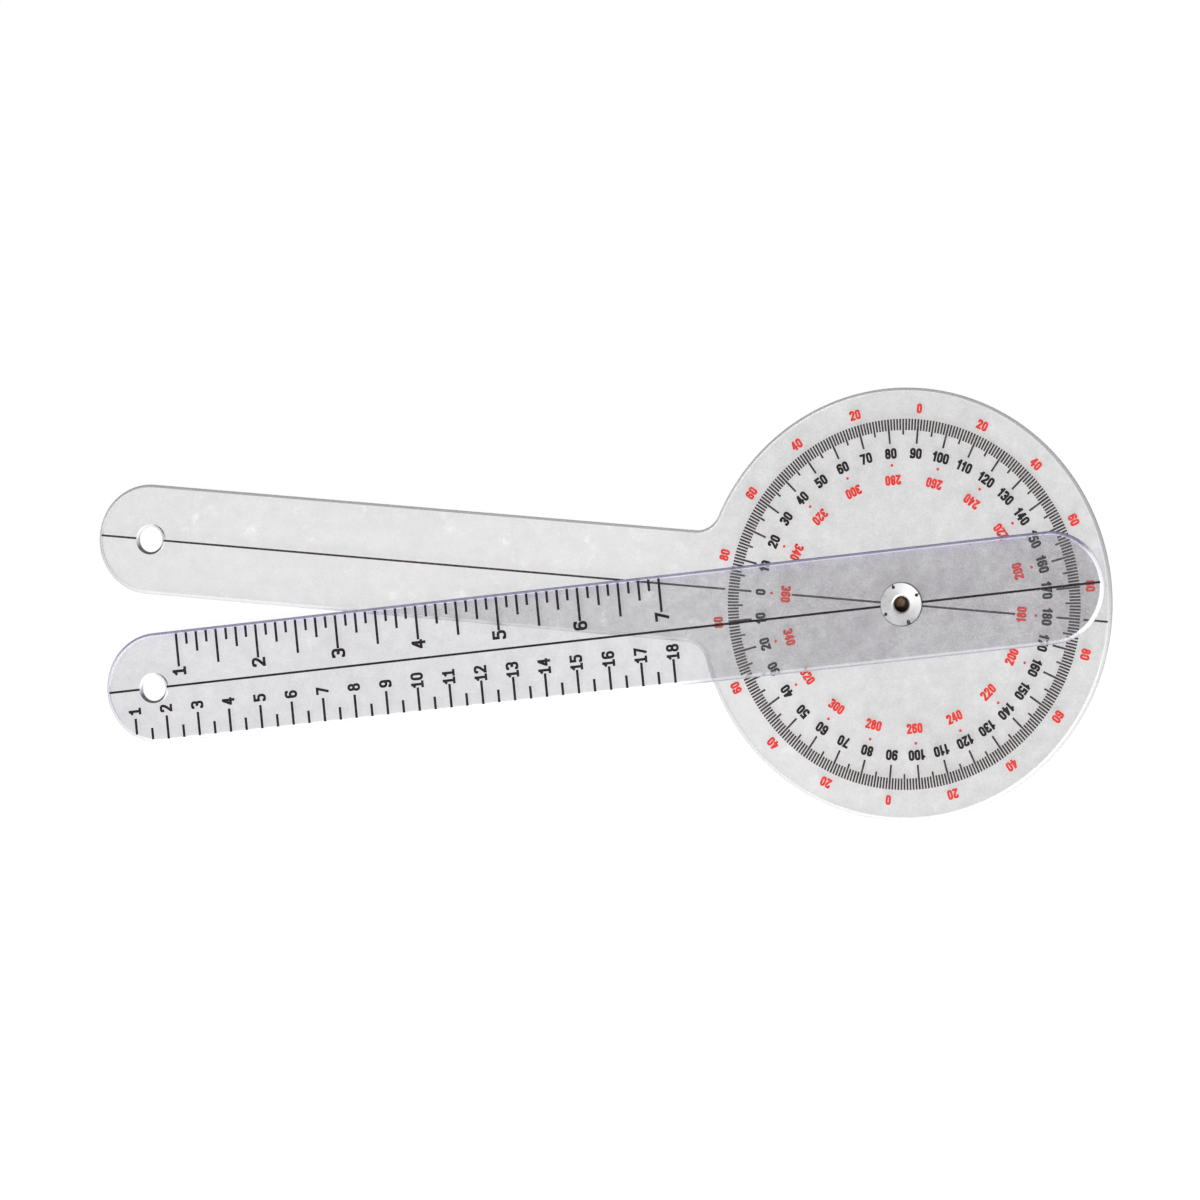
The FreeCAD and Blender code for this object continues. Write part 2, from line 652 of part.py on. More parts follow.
def make_ruler_scale():
    """Black ink on the ruler arm: centre line, inches on one edge, centimetres on the other."""
    body = new_body("ruler_scale", several_solids=True)
    start, break_start, break_end = line_ends("ruler_arm_reach", "ruler_hang_inset")
    flange_left, flange_right = flange_ends()
    end = (size("ruler_arm_tail") - size("edge_margin"), "Sizes.ruler_arm_tail - Sizes.edge_margin")
    centre_line(
        body, "ruler_line", [(start, break_start), (break_end, flange_left), (flange_right, end)]
    )

    inch, centimetre = size("inch"), size("centimetre")
    halves = 2 * (LAST_INCH - 1) + 1
    rows = [
        ("half_inch", UP, (inch, "Sizes.inch"), halves, "Sizes.inch / 2"),
        ("quarter_inch", UP, (inch * 5 / 4, "Sizes.inch * 5 / 4"), halves - 1, "Sizes.inch / 2"),
        ("eighth_inch", UP, (inch * 9 / 8, "Sizes.inch * 9 / 8"), 2 * (halves - 1), "Sizes.inch / 4"),
        (
            "centimetre",
            DOWN,
            (centimetre * 2, "Sizes.centimetre * 2"),
            LAST_CENTIMETRE - 1,
            "Sizes.centimetre",
        ),
        (
            "half_centimetre",
            DOWN,
            (centimetre * 5 / 2, "Sizes.centimetre * 5 / 2"),
            LAST_CENTIMETRE - 2,
            "Sizes.centimetre",
        ),
    ]
    for name, side, first, count, spacing in rows:
        scale_row(body, name, side, first, count, spacing)
    tip_mark(body, "first_centimetre", "centimetre_mark", (centimetre, "Sizes.centimetre"))
    tip_mark(
        body,
        "first_half_centimetre",
        "half_centimetre_mark",
        (centimetre * 3 / 2, "Sizes.centimetre * 3 / 2"),
    )
    place_over_dial(body, "Sizes.dial_sheet + Sizes.arm_gap + Sizes.ruler_sheet")
    return body


# ---------------------------------------------------------------- build, check and write


def check(bodies):
    """Stop if any object failed or any sub-part has no valid solid."""
    for item in doc.Objects:
        if "Invalid" in item.State or "Error" in item.State:
            raise RuntimeError(f"{item.Label}: {item.State}")
    for body in bodies:
        shape = body.Shape
        if shape.isNull() or not shape.isValid() or not shape.Solids:
            raise RuntimeError(f"{body.Label} has no valid solid")
        print(f"{body.Label}: {len(shape.Solids)} solid(s), {shape.Volume:.1f} mm3")


def main():
    """Build every sub-part and write one STEP file for each."""
    makers = [make_dial_arm, make_ruler_arm, make_rivet, make_dial_scale, make_dial_dots, make_ruler_scale]
    bodies = [maker() for maker in makers]
    doc.recompute()
    check(bodies)
    os.makedirs(OUT_DIR, exist_ok=True)
    for body in bodies:
        body.Shape.exportStep(os.path.join(OUT_DIR, body.Label + ".step"))


main()
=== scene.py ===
"""Dresses the clear angle finder: its two clear arms, printed scales, numbers and rivet."""

import json
import math

import bmesh
import bpy
from bpy.props import BoolProperty, FloatProperty, FloatVectorProperty, PointerProperty
from mathutils import Matrix, Vector
from mathutils.geometry import delaunay_2d_cdt


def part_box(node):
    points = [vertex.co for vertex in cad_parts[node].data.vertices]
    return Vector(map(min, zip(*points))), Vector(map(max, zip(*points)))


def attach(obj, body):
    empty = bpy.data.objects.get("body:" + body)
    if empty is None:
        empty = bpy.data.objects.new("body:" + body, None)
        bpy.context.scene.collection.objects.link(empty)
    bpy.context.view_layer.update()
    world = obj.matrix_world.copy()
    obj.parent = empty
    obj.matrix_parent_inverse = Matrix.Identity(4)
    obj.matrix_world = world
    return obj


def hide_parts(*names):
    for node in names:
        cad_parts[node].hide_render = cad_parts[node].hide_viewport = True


bl_info = {
    "name": "Angle Finder With Arms",
    "version": (1, 0, 0),
    "blender": (4, 5, 0),
    "location": "3D View > Sidebar > Angle Finder",
    "description": "Clear sheets, printed scales and numbers, rivet and stage of an angle finder",
    "category": "Add Mesh",
}

MM = 0.001
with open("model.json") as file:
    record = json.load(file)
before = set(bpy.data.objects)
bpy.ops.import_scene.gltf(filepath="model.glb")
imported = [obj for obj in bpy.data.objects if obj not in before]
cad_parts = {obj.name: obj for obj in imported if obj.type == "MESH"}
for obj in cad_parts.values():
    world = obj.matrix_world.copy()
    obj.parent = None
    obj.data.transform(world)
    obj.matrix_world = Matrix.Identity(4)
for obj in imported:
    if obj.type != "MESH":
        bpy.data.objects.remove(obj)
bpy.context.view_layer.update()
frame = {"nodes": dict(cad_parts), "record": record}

WHITE = (1.0, 1.0, 1.0)
TINY = 1e-7
# The last numbers of the ruler's two scales.
LAST_INCH = 7
LAST_CENTIMETRE = 18
# The dial's numbers, in degrees.
QUARTER_TURN = 90
HALF_TURN = 180
FULL_TURN = 360
BLACK_STEP = 10
RED_STEP = 20


# ---------------------------------------------------------------- settings that a user would change


def length(name, millimetres, description):
    """A length property, given in millimetres."""
    return FloatProperty(
        name=name,
        description=description,
        default=millimetres * MM,
        unit="LENGTH",
        subtype="DISTANCE",
    )


def share(name, default, description):
    """A property from 0 to 1."""
    return FloatProperty(
        name=name, description=description, default=default, min=0, max=1, subtype="FACTOR"
    )


def amount(name, default, description):
    """A plain number."""
    return FloatProperty(name=name, description=description, default=default)


def angle(name, degrees, description):
    """An angle property, given in degrees."""
    return FloatProperty(
        name=name,
        description=description,
        default=math.radians(degrees),
        unit="ROTATION",
        subtype="ANGLE",
    )


def colour(name, default, description):
    """A colour property, scene-linear."""
    return FloatVectorProperty(
        name=name, description=description, default=default, min=0, max=1, size=3, subtype="COLOR"
    )


class SheetLook(bpy.types.PropertyGroup):
    """How one clear sheet looks; these are the dial's own values."""

    tint: colour("Tint", (0.59, 0.59, 0.59), "What the sheet lets through")
    pale: colour("Pale tint", (0.705, 0.705, 0.705), "The same out along the arm")
    # The rim colour is painted shade: the dark line painted along edges that face up and right.
    rim: colour("Rim", (0.30, 0.30, 0.31), "The dark line that gathers in the edge")
    shoulder: colour("Shoulder", (0.72, 0.72, 0.74), "The rounding inside that line")
    # The cast is painted shade: a violet band painted inside the sheet's upper edge.
    cast: share("Cast", 0.0, "Strength of the violet cast beside the sheet's upper edge")
    # The end gleam is a painted highlight: more white satin on the right end's right-facing edges.
    gleam: share("End gleam", 0.0, "How white the sheet's right end is")
    marks: share("Marks", 0.8, "Strength of the small milky marks")


class AngleFinderSheets(bpy.types.PropertyGroup):
    """The two clear arms."""

    dial: PointerProperty(type=SheetLook, name="Dial", description="The dial's sheet")
    ruler: PointerProperty(type=SheetLook, name="Ruler", description="The ruler arm's sheet")
    arm_width: length("Arm width", 32.5, "Width of both arms")
    head_blend: length("Head blend", 7.0, "Radius between the head and the dial's arm")
    edge_drop: length("Edge drop", 0.85, "How far the outer edges round down")
    edge_inset: length("Edge inset", 1.25, "How far in from the outline that rounding starts")
    hole_round: length("Hole round", 0.8, "Radius on the edges of the holes")
    hang_hole: length("Hanging hole", 7.5, "Diameter of the hanging holes")
    shank_hole: length("Rivet hole", 5.2, "Diameter of the hole that the rivet fills")
    cloud_tint: colour("Cloud tint", (0.86, 0.86, 0.87), "What a sheet lets through in pale clouds")
    mark_tint: colour("Mark tint", (0.97, 0.97, 0.97), "The same at small milky marks")
    hole_shade: colour("Hole shade", (0.085, 0.085, 0.09), "Dark crescents in the hanging holes")
    # Colour of that painted violet shade by the upper edge.
    cast_tint: colour("Cast tint", (0.56, 0.52, 0.74), "Violet cast beside the upper edge")
    # The extra satin below is a painted highlight on edges that face down, towards the lamp.
    near_satin: share("Near satin", 0.45, "Extra satin on edges that face the low side, over paper")
    rim_satin: share("Rim satin", 0.8, "How much of the dark line is satin instead of clear")
    shoulder_satin: share("Shoulder satin", 0.3, "How much of the rounding is satin")
    lamp_tint: colour("Lamp tint", (0.96, 0.96, 0.965), "What one face lets through from a lamp")
    rim_shade: colour("Rim shade", (0.75, 0.75, 0.78), "What one face lets through at the edges")
    refraction: amount("Refraction", 1.49, "Index of refraction of the clear plastic")
    ripple: length("Ripple", 0.012, "Height of the moulding's slow ripple")


class AngleFinderInks(bpy.types.PropertyGroup):
    """The printing inks."""

    black: colour("Black ink", (0.010, 0.008, 0.009), "Solid black ink")
    worn_black: colour("Worn black", (0.045, 0.034, 0.034), "Black ink where it is thin")
    lines: colour("Line ink", (0.030, 0.022, 0.022), "Black ink of the dial's lines and marks")
    worn_lines: colour("Worn lines", (0.115, 0.090, 0.090), "The same ink where it is thin")
    red: colour("Red ink", (0.57, 0.028, 0.022), "Solid red ink")
    worn_red: colour("Worn red", (0.64, 0.10, 0.078), "Red ink where it is thin")
    film: length("Ink film", 0.03, "Thickness of the printed numbers")


class NumberLook(bpy.types.PropertyGroup):
    """The shape of one series of numbers."""

    height: length("Height", 3.0, "Height of the digits")
    width: length("Width", 1.5, "Width of a digit")
    stroke: length("Stroke", 0.45, "Width of the strokes")
    space: length("Space", 0.2, "Space between two digits")
    bend: length("Bend", 0.6, "How far each corner is rounded off")
    footed: BoolProperty(name="Footed one", description="Draw the 1 with a foot", default=False)
    distance: length("Distance", 40.0, "Swing axis, or the arm's centre line, to the numbers")


def series(name, description):
    """The looks of one series of numbers."""
    return PointerProperty(type=NumberLook, name=name, description=description)


class AngleFinderNumbers(bpy.types.PropertyGroup):
    """The five series of printed numbers."""

    scale_zero: length("Scale zero", 251.0, "Swing axis to the zero of the ruler arm's scales")
    inch: length("Inch", 25.4, "Spacing of the inch numbers")
    centimetre: length("Centimetre", 10.0, "Spacing of the centimetre numbers")
    black: series("Degrees", "Black numbers inside the ring")
    outer: series("Outer red", "Red numbers outside the ring")
    inner: series("Inner red", "Red numbers inside the dots")
    inches: series("Inches", "Numbers of the inch scale")
    centimetres: series("Centimetres", "Numbers of the centimetre scale")


class AngleFinderRivet(bpy.types.PropertyGroup):
    """The rivet's metal."""

    bright: colour("Bright metal", (0.93, 0.93, 0.92), "Polished face of the clenched flange")
    # The dull colour also paints the dark parts of the flange's painted reflection.
    dull: colour("Dull metal", (0.36, 0.36, 0.38), "Where the metal has gone dull")
    tarnish: colour("Tarnish", (0.20, 0.13, 0.085), "Brown tarnish down in the hollow")
    hollow_radius: length("Hollow radius", 2.35, "Radius inside which the metal is tarnished")
    # The hollow shade is painted shade: the hollow is painted this dark away from its lit spot.
    deep_soot: colour("Deep soot", (0.030, 0.019, 0.012), "Brown-black dirt down in the hollow")
    # The recess shade is painted shade: the dark walls of the relief holes, and the ring under the
    # flange.
    soot: colour("Soot", (0.035, 0.035, 0.045), "Dirt in the small relief holes")
    relief_inside: length("Relief inside", 4.8, "Radius outside which the relief holes lie")
    relief_outside: length("Relief outside", 5.98, "Radius inside which they lie")
    # The spot is the lit part of the hollow's wall, which keeps the brown tarnish; further away the
    # hollow is painted dark as shade.
    spot_x: length("Spot X", -1.7, "Middle of the brown spot in the hollow, along X")
    spot_y: length("Spot Y", 0.55, "The same, along Y")
    spot_z: length("Spot Z", 0.7, "The same, along Z")
    spot_radius: length("Spot radius", 1.65, "Further than this from the spot, the hollow is sooty")
    hollow_depth: length("Hollow depth", 0.6, "How far below the flange's face the tarnish starts")
    dent: length("Dent", 0.05, "Depth of the clenching tool's marks")
    # The flange's painted reflection is brightest this way round.
    wedge_turn: angle("Wedge direction", 50, "Direction in which the rolled face is brightest")
    # The ring under the flange is painted shade: a thin dark ring that shows in the relief holes
    # and just outside the flange.
    grime_inside: length("Grime inside", 4.6, "Inner radius of the grime under the flange")
    grime_outside: length("Grime outside", 6.4, "Outer radius of that grime")
    grime_film: length("Grime film", 0.02, "Thickness of the grime")


class AngleFinderStage(bpy.types.PropertyGroup):
    """Floor, lamps and camera."""

    paper: colour("Paper", (0.97, 0.97, 0.97), "The floor's own colour")
    glow: share("Glow", 0.85, "How much of the floor's whiteness is background, not lit paper")
    inner_glow: share("Inner glow", 0.8, "The same as seen in metal and through clear plastic")
    key_power: amount("Key power", 14.5, "Power of the soft lamp, in watts")
    key_distance: length("Key distance", 1100.0, "Soft lamp to the object")
    key_size: length("Key size", 800.0, "Side of the soft lamp")
    key_azimuth: angle("Key direction", -52, "Direction of the soft lamp round from +X")
    key_elevation: angle("Key height", 55, "Height of the soft lamp over the floor")
    sky: amount("Sky", 0.5, "Strength of the light from all round")
    sky_dark: colour("Dark sky", (0.30, 0.30, 0.33), "What shines in edges that face the dark side")
    sky_low: colour("Low sky", (0.42, 0.42, 0.44), "What shines in flat faces seen from low down")
    lens: amount("Lens", 300.0, "Focal length of the camera, in millimetres")
    aim_x: length("Aim X", -93.736, "The point that the lamp and the camera face, along X")
    aim_y: length("Aim Y", -6.388, "The same, along Y")
    distance: length("Camera distance", 2915.2, "Camera to the point that it looks at")
    tilt: angle("Camera tilt", 20.086, "Camera's lean from straight above")
    azimuth: angle("Camera direction", 3.642, "Direction of the camera round from +X")
    roll: angle("Camera roll", -4.51, "Turn of the camera about its own axis")


SETTINGS = {
    "angle_finder_sheets": AngleFinderSheets,
    "angle_finder_inks": AngleFinderInks,
    "angle_finder_numbers": AngleFinderNumbers,
    "angle_finder_rivet": AngleFinderRivet,
    "angle_finder_stage": AngleFinderStage,
}


# ---------------------------------------------------------------- shaders


class Wire:
    """A node's output that arithmetic can use; each operation adds its Math node."""

    def __init__(self, shader, socket):
        self.shader = shader
        self.socket = socket

    def maths(self, operation, *values):
        """The result of one Math node."""
        return self.shader.node("ShaderNodeMath", {"operation": operation}, values)

    def __add__(self, other):
        return self.maths("ADD", self, other)

    def __sub__(self, other):
        return self.maths("SUBTRACT", self, other)

    def __rsub__(self, other):
        return self.maths("SUBTRACT", other, self)

    def __mul__(self, other):
        return self.maths("MULTIPLY", self, other)

    def __truediv__(self, other):
        return self.maths("DIVIDE", self, other)

    def __abs__(self):
        return self.maths("ABSOLUTE", self)

    __radd__ = __add__
    __rmul__ = __mul__

    def root(self):
        """The square root."""
        return self.maths("SQRT", self)

    def clamp(self):
        """The value kept between 0 and 1."""
        return self.maths("MINIMUM", self.maths("MAXIMUM", self, 0.0), 1.0)

    def either(self, other):
        """The larger of two values."""
        return self.maths("MAXIMUM", self, other)

    def step(self, low, high):
        """0 below low, 1 above high, and a slope between; low may be the larger."""
        return ((self - low) * (1 / (high - low))).clamp()


class Shader:
    """The node tree of a material or of the world."""

    def __init__(self, owner):
        owner.use_nodes = True
        self.owner = owner
        self.tree = owner.node_tree
        self.tree.nodes.clear()

    def node(self, kind, settings=None, inputs=(), output=0):
        """Add a node: its settings first, then the values or wires of its sockets."""
        made = self.tree.nodes.new(kind)
        for key, value in (settings or {}).items():
            setattr(made, key, value)
        pairs = inputs.items() if isinstance(inputs, dict) else enumerate(inputs)
        for key, value in pairs:
            self.feed(made.inputs[key], value)
        return Wire(self, made.outputs[output]) if made.outputs else None

    def feed(self, socket, value):
        """Link a wire to a socket, or set the socket to a value."""
        if isinstance(value, Wire):
            self.tree.links.new(value.socket, socket)
        elif isinstance(value, (int, float)):
            socket.default_value = value
        else:
            numbers = list(value)
            socket.default_value = numbers + [1.0] * (len(socket.default_value) - len(numbers))

    def blend(self, factor, first, second):
        """The first colour at factor 0, the second at factor 1."""
        # The Mix node's own sockets for colours: two inputs and one output.
        values = {0: factor, 6: first, 7: second}
        return self.node("ShaderNodeMix", {"data_type": "RGBA"}, values, 2)

    def noise(self, place, scale, detail=3.0, rough=0.5):
        """Noise from 0 to 1 with features about 1/scale metres across."""
        values = {"Vector": place, "Scale": scale, "Detail": detail, "Roughness": rough}
        return self.node("ShaderNodeTexNoise", inputs=values)

    def place(self):
        """The point on the object, in metres."""
        return self.node("ShaderNodeTexCoord", output="Object")

    def stretched(self, place, turn, factors=(1.0, 1.0, 1.0)):
        """The point turned about Z, in radians, and stretched."""
        values = {"Vector": place, "Rotation": (0, 0, turn), "Scale": factors}
        return self.node("ShaderNodeMapping", {"vector_type": "TEXTURE"}, values)

    def parts(self, vector):
        """The X, Y and Z of a vector."""
        names = ("X", "Y", "Z")
        first = self.node("ShaderNodeSeparateXYZ", inputs=[vector])
        return [Wire(self, first.socket.node.outputs[name]) for name in names]

    def mix(self, factor, first, second):
        """The first shader at factor 0, the second at factor 1."""
        return self.node("ShaderNodeMixShader", inputs=[factor, first, second])

    def rays(self, *kinds):
        """1 for rays of these kinds."""
        path = self.node("ShaderNodeLightPath").socket.node
        found = [Wire(self, path.outputs[kind]) for kind in kinds]
        result = found[0]
        for other in found[1:]:
            result = result.either(other)
        return result

    def finish(self, surface):
        """Send a shader to the output."""
        world = isinstance(self.owner, bpy.types.World)
        kind = "ShaderNodeOutputWorld" if world else "ShaderNodeOutputMaterial"
        self.node(kind, inputs={"Surface": surface})
        return self.owner


# Noises: features to a metre, detail, roughness. The two grains count their own stretched lengths.
SCRATCH_GRAIN = (1.0, 2.0)
SWIRL_GRAIN = (1.0, 3.0)
SCRATCH_PATCHES = (30.0, 1.0)
CLOUD = (260.0, 5.0, 0.65)
SPECK = (1400.0, 2.0, 0.6)
SLOW = (45.0, 2.0)
MARKS = (150.0, 5.0, 0.65)
INK_BLOTCH = (900.0, 3.0)
INK_SPECK = (6000.0, 2.0)
METAL_PATCH = (420.0, 3.0)
METAL_FINE = (3500.0, 3.0)
PAPER_FIBRE = (25.0, 2.0)

# The pairs below are for Wire.step: where a mask starts, and where it is full.
# Masks over noise.
SCRATCHED = (0.45, 0.6)
HAZY = (0.36, 0.64)
CLOUDED = (0.42, 0.66)
MARKED = (0.60, 0.70)
THIN_INK = (0.45, 0.72)
DULLED = (0.48, 0.72)
# Masks over how upright the normal is: 1 on a flat face, 0 on the wall of an edge.
EDGE = (0.998, 0.985)
OUTERMOST = (0.985, 0.95)
ARRIS_OUTSIDE = (0.9999, 0.9985)
ARRIS_INSIDE = (0.990, 0.996)
# Masks over which way an edge faces, up being +Y and right +X: 1 straight that way, -1 away.
FACES_UP = (-0.1, 0.7)
FACES_UP_IN_HOLE = (-0.1, 0.6)
FACES_DOWN = (-0.2, -0.8)
FACES_RATHER_DOWN = (0.1, -0.5)
FACES_RIGHT = (0.3, 0.8)
FACES_RIGHT_AT_END = (0.45, 0.75)
# Masks over places on a sheet, in metres.
RIGHT_END = (30 * MM, 40 * MM)
OUT_ALONG_ARM = (20 * MM, 75 * MM)
UPPER_BAND = (12.6 * MM, 15.0 * MM)
HOLE_FADE = (0.3 * MM, 0.1 * MM)
# Half the width of the fade at paper_from, and a place further right than any sheet reaches.
PAPER_FADE = 5 * MM
RIGHT_OF_ALL = 1.0

# A scratch's width and length, as stretches of the noise, and each way that scratches run:
# direction in radians, then how rare they are.
SCRATCH_SHAPE = (0.02, 0.0004, 1.0)
SCRATCH_WAYS = ((0.35, 0.66), (1.9, 0.68))
SCRATCH_FADE = 0.05
# Shares of what a mask or a value is mixed from.
LINE_ON_RIGHT = 0.5
LINE_ON_ARRIS = 0.5
GLEAM_THINS = 0.5
GLEAM_SATIN = 0.45
PALE_SLANT = 0.8
MARKS_ON_HEAD = 0.3
HAZE_MILK, SLOW_MILK = 0.56, 0.12
RIPPLE_STRENGTH, SPECK_RIPPLE = 0.6, 0.02
COARSE_SHARE, FINE_SHARE = 0.6, 0.4
SWIRL_RELIEF, FINE_RELIEF = 0.3, 0.08
METAL_STRENGTH = 0.5
INK_STRENGTH = 0.3
INK_RELIEF = 0.02 * MM
# Roughness that each finish starts from, and what is added to it.
CLEAR_ROUGH, HAZE_ROUGH, SCUFF_ROUGH, EDGE_ROUGH = 0.025, 0.03, 0.07, 0.06
SATIN_ROUGH, SPECK_ROUGH = 0.28, 0.2
INK_ROUGH, THIN_ROUGH = 0.42, 0.25
METAL_ROUGH, DULL_ROUGH, SWIRL_ROUGH, HOLLOW_ROUGH = 0.24, 0.14, 0.08, 0.3
PAPER_ROUGH = 0.9
# How glossy ink is, how much less metallic the dirty hollow is, and the paper on its fibres.
INK_GLOSS = 0.12
HOLLOW_DIRT = 0.35
FIBRE_TINT = (0.98, 0.98, 0.98)
# Keeps a division by the lean of a flat face finite.
NEVER_ZERO = 0.001


def scratches(shader, place, turn, rarity):
    """Fine scratches that run one way: 1 on a scratch, 0 beside it."""
    grain = shader.noise(shader.stretched(place, turn, SCRATCH_SHAPE), *SCRATCH_GRAIN)
    patch = shader.noise(place, *SCRATCH_PATCHES)
    return grain.step(rarity, rarity + SCRATCH_FADE) * patch.step(*SCRATCHED)


def edge_masks(sheet, place, look, hole, paper_from, settings):
    """Masks of the rounded edges: the edge, its dark line of painted shade, the hole's crescent of
    painted shade, the satin with its painted highlights.
    """
    x, y, _ = sheet.parts(place)
    right, up, rise = sheet.parts(sheet.node("ShaderNodeNewGeometry", output="Normal"))
    rise = abs(rise)
    lean = (1.0 - rise * rise).root() + NEVER_ZERO
    right, up = right / lean, up / lean
    edge = rise.step(*EDGE)
    faces_right = right.step(*FACES_RIGHT)
    # Painted highlight: at the right end, edges that face right get extra white satin in place of
    # the dark line.
    gleam = right.step(*FACES_RIGHT_AT_END) * x.step(*RIGHT_END) * look.gleam
    # Painted shade: a dark line on the outermost rounding of edges that face up, half as strong
    # where they face right, and a second line at the arris of right-facing edges; the end gleam
    # takes it away.
    arris = rise.step(*ARRIS_OUTSIDE) * rise.step(*ARRIS_INSIDE) * faces_right
    rim = rise.step(*OUTERMOST) * (up.step(*FACES_UP) + faces_right * LINE_ON_RIGHT)
    line = (rim * (1.0 - gleam) + arris * LINE_ON_ARRIS).clamp()

    off_x, off_y = x - hole.x, y - hole.y
    reach = settings.hang_hole / 2 + settings.hole_round
    from_hole = (off_x * off_x + off_y * off_y).root()
    in_hole = from_hole.step(*(reach + fade for fade in HOLE_FADE))
    # Painted shade: a dark crescent on the hole's walls that face up.
    crescent = in_hole * edge * up.step(*FACES_UP_IN_HOLE)
    line = (line * (1.0 - in_hole)).either(crescent)

    over_paper = x.step(paper_from + PAPER_FADE, paper_from - PAPER_FADE)
    # With the painted end highlight, edges that face down keep less satin.
    thinned = 1.0 - up.step(*FACES_DOWN) * look.gleam * GLEAM_THINS
    shoulder = thinned * settings.shoulder_satin + gleam * GLEAM_SATIN
    # Painted highlight: extra white satin on edges that face down, towards the lamp, where they lie
    # over the paper.
    shoulder = shoulder + up.step(*FACES_RATHER_DOWN) * over_paper * settings.near_satin
    satin = edge * shoulder + line * (settings.rim_satin - settings.shoulder_satin)
    return edge, line, crescent, satin.either(crescent)


def cloudy_tint(sheet, place, milk, look, settings):
    """What a sheet lets through: paler along its arm, with a violet band of painted shade by its
    upper edge, and milky.
    """
    x, y, _ = sheet.parts(place)
    pale_side = (0.0 - x - y * PALE_SLANT).step(*OUT_ALONG_ARM)
    _, across, _ = sheet.parts(sheet.stretched(place, math.radians(stored_angle())))
    plain = sheet.blend(pale_side, look.tint, look.pale)
    # Painted shade: a violet band along the sheet's upper edge, as strong as look.cast.
    tint = sheet.blend(across.step(*UPPER_BAND) * look.cast, plain, settings.cast_tint)
    marks = sheet.noise(place, *MARKS).step(*MARKED) * pale_side.either(MARKS_ON_HEAD) * look.marks
    return sheet.blend(marks, sheet.blend(milk, tint, settings.cloud_tint), settings.mark_tint)


def clear_plastic(name, look, hole, paper_from, settings):
    """Clear moulded sheet: faintly cloudy, scuffed faces, and edges with a dark line of painted
    shade on their upper and right sides and painted highlights elsewhere.

    Edges that lie to the left of paper_from are seen against the paper alone.
    """
    sheet = Shader(bpy.data.materials.new(name))
    place = sheet.place()
    edge, line, crescent, satin_part = edge_masks(sheet, place, look, hole, paper_from, settings)
    speck = sheet.noise(place, *SPECK)
    slow = sheet.noise(place, *SLOW)
    haze = (sheet.noise(place, *CLOUD) * COARSE_SHARE + speck * FINE_SHARE).step(*HAZY)
    milk = haze * HAZE_MILK + slow.step(*CLOUDED) * SLOW_MILK
    first, second = (scratches(sheet, place, turn, rarity) for turn, rarity in SCRATCH_WAYS)
    scuff = first.either(second)
    ripple = {
        "Strength": RIPPLE_STRENGTH,
        "Distance": settings.ripple,
        "Height": slow + speck * SPECK_RIPPLE,
    }
    glass = sheet.node(
        "ShaderNodeBsdfPrincipled",
        inputs={
            "Base Color": cloudy_tint(sheet, place, milk, look, settings),
            "Roughness": CLEAR_ROUGH + haze * HAZE_ROUGH + scuff * SCUFF_ROUGH + edge * EDGE_ROUGH,
            "IOR": settings.refraction,
            "Transmission Weight": 1.0,
            "Normal": sheet.node("ShaderNodeBump", inputs=ripple),
        },
    )
    # The satin's colour: the shoulder, darkened along the dark line to the painted rim shade.
    rounding = sheet.blend(line, look.shoulder, look.rim)
    satin = sheet.node(
        "ShaderNodeBsdfPrincipled",
        inputs={
            "Base Color": sheet.blend(crescent, rounding, settings.hole_shade),
            "Roughness": SATIN_ROUGH + speck * SPECK_ROUGH,
            "IOR": settings.refraction,
        },
    )
    surface = sheet.mix(satin_part, glass, satin)
    # Lamps shine through the sheet: a little is lost at a face, more at an edge.
    lit = sheet.rays("Is Shadow Ray", "Is Diffuse Ray")
    edges = sheet.node("ShaderNodeBsdfTransparent", inputs=[settings.rim_shade])
    faces = sheet.node("ShaderNodeBsdfTransparent", inputs=[settings.lamp_tint])
    return sheet.finish(sheet.mix(lit * (1.0 - edge), sheet.mix(lit, surface, edges), faces))


def ink(name, solid, worn):
    """Screen-printed ink: solid in the middle of its patches, thinner and paler in specks."""
    film = Shader(bpy.data.materials.new(name))
    place = film.place()
    speck = film.noise(place, *INK_SPECK)
    blotch = film.noise(place, *INK_BLOTCH)
    thin = (blotch * COARSE_SHARE + speck * FINE_SHARE).step(*THIN_INK)
    relief = {"Strength": INK_STRENGTH, "Distance": INK_RELIEF, "Height": speck}
    surface = film.node(
        "ShaderNodeBsdfPrincipled",
        inputs={
            "Base Color": film.blend(thin, solid, worn),
            "Roughness": INK_ROUGH + thin * THIN_ROUGH,
            "Specular IOR Level": INK_GLOSS,
            "Normal": film.node("ShaderNodeBump", inputs=relief),
        },
    )
    return film.finish(surface)


# How far below the flange's face the painted shade of a relief hole starts and ends, in metres.
RELIEF_SHADE_STARTS = (0.04 * MM, 0.12 * MM)
RELIEF_SHADE_ENDS = (0.7 * MM, 0.6 * MM)
# Widths over which the metal's masks fade, in metres.
TARNISH_FADE = (-0.25 * MM, 0.35 * MM)
HOLLOW_FADE = 0.15 * MM
RELIEF_FADE = 0.05 * MM
# The tool's swirls: direction in radians, and the stretches of the noise.
SWIRL_TURN = 0.7
SWIRL_SHAPE = (0.004, 0.0003, 1.0)
# The flange's shine, a painted reflection: its bright half and its two bright wedges, with the real
# dull patches, mixed and then spread.
HALF_SHARE, WEDGE_SHARE, DULL_SHARE = 0.75, 0.4, 0.35
SHINE_SPREAD = (0.1, 1.2)
OPPOSITE = (1.0, -1.0)
# The lit spot in the hollow, outside which the tarnish is painted dark as shade: how little its
# depth counts, and where its dark border starts.
SPOT_DEPTH_SHARE = 0.5
SPOT_CORE = 0.75


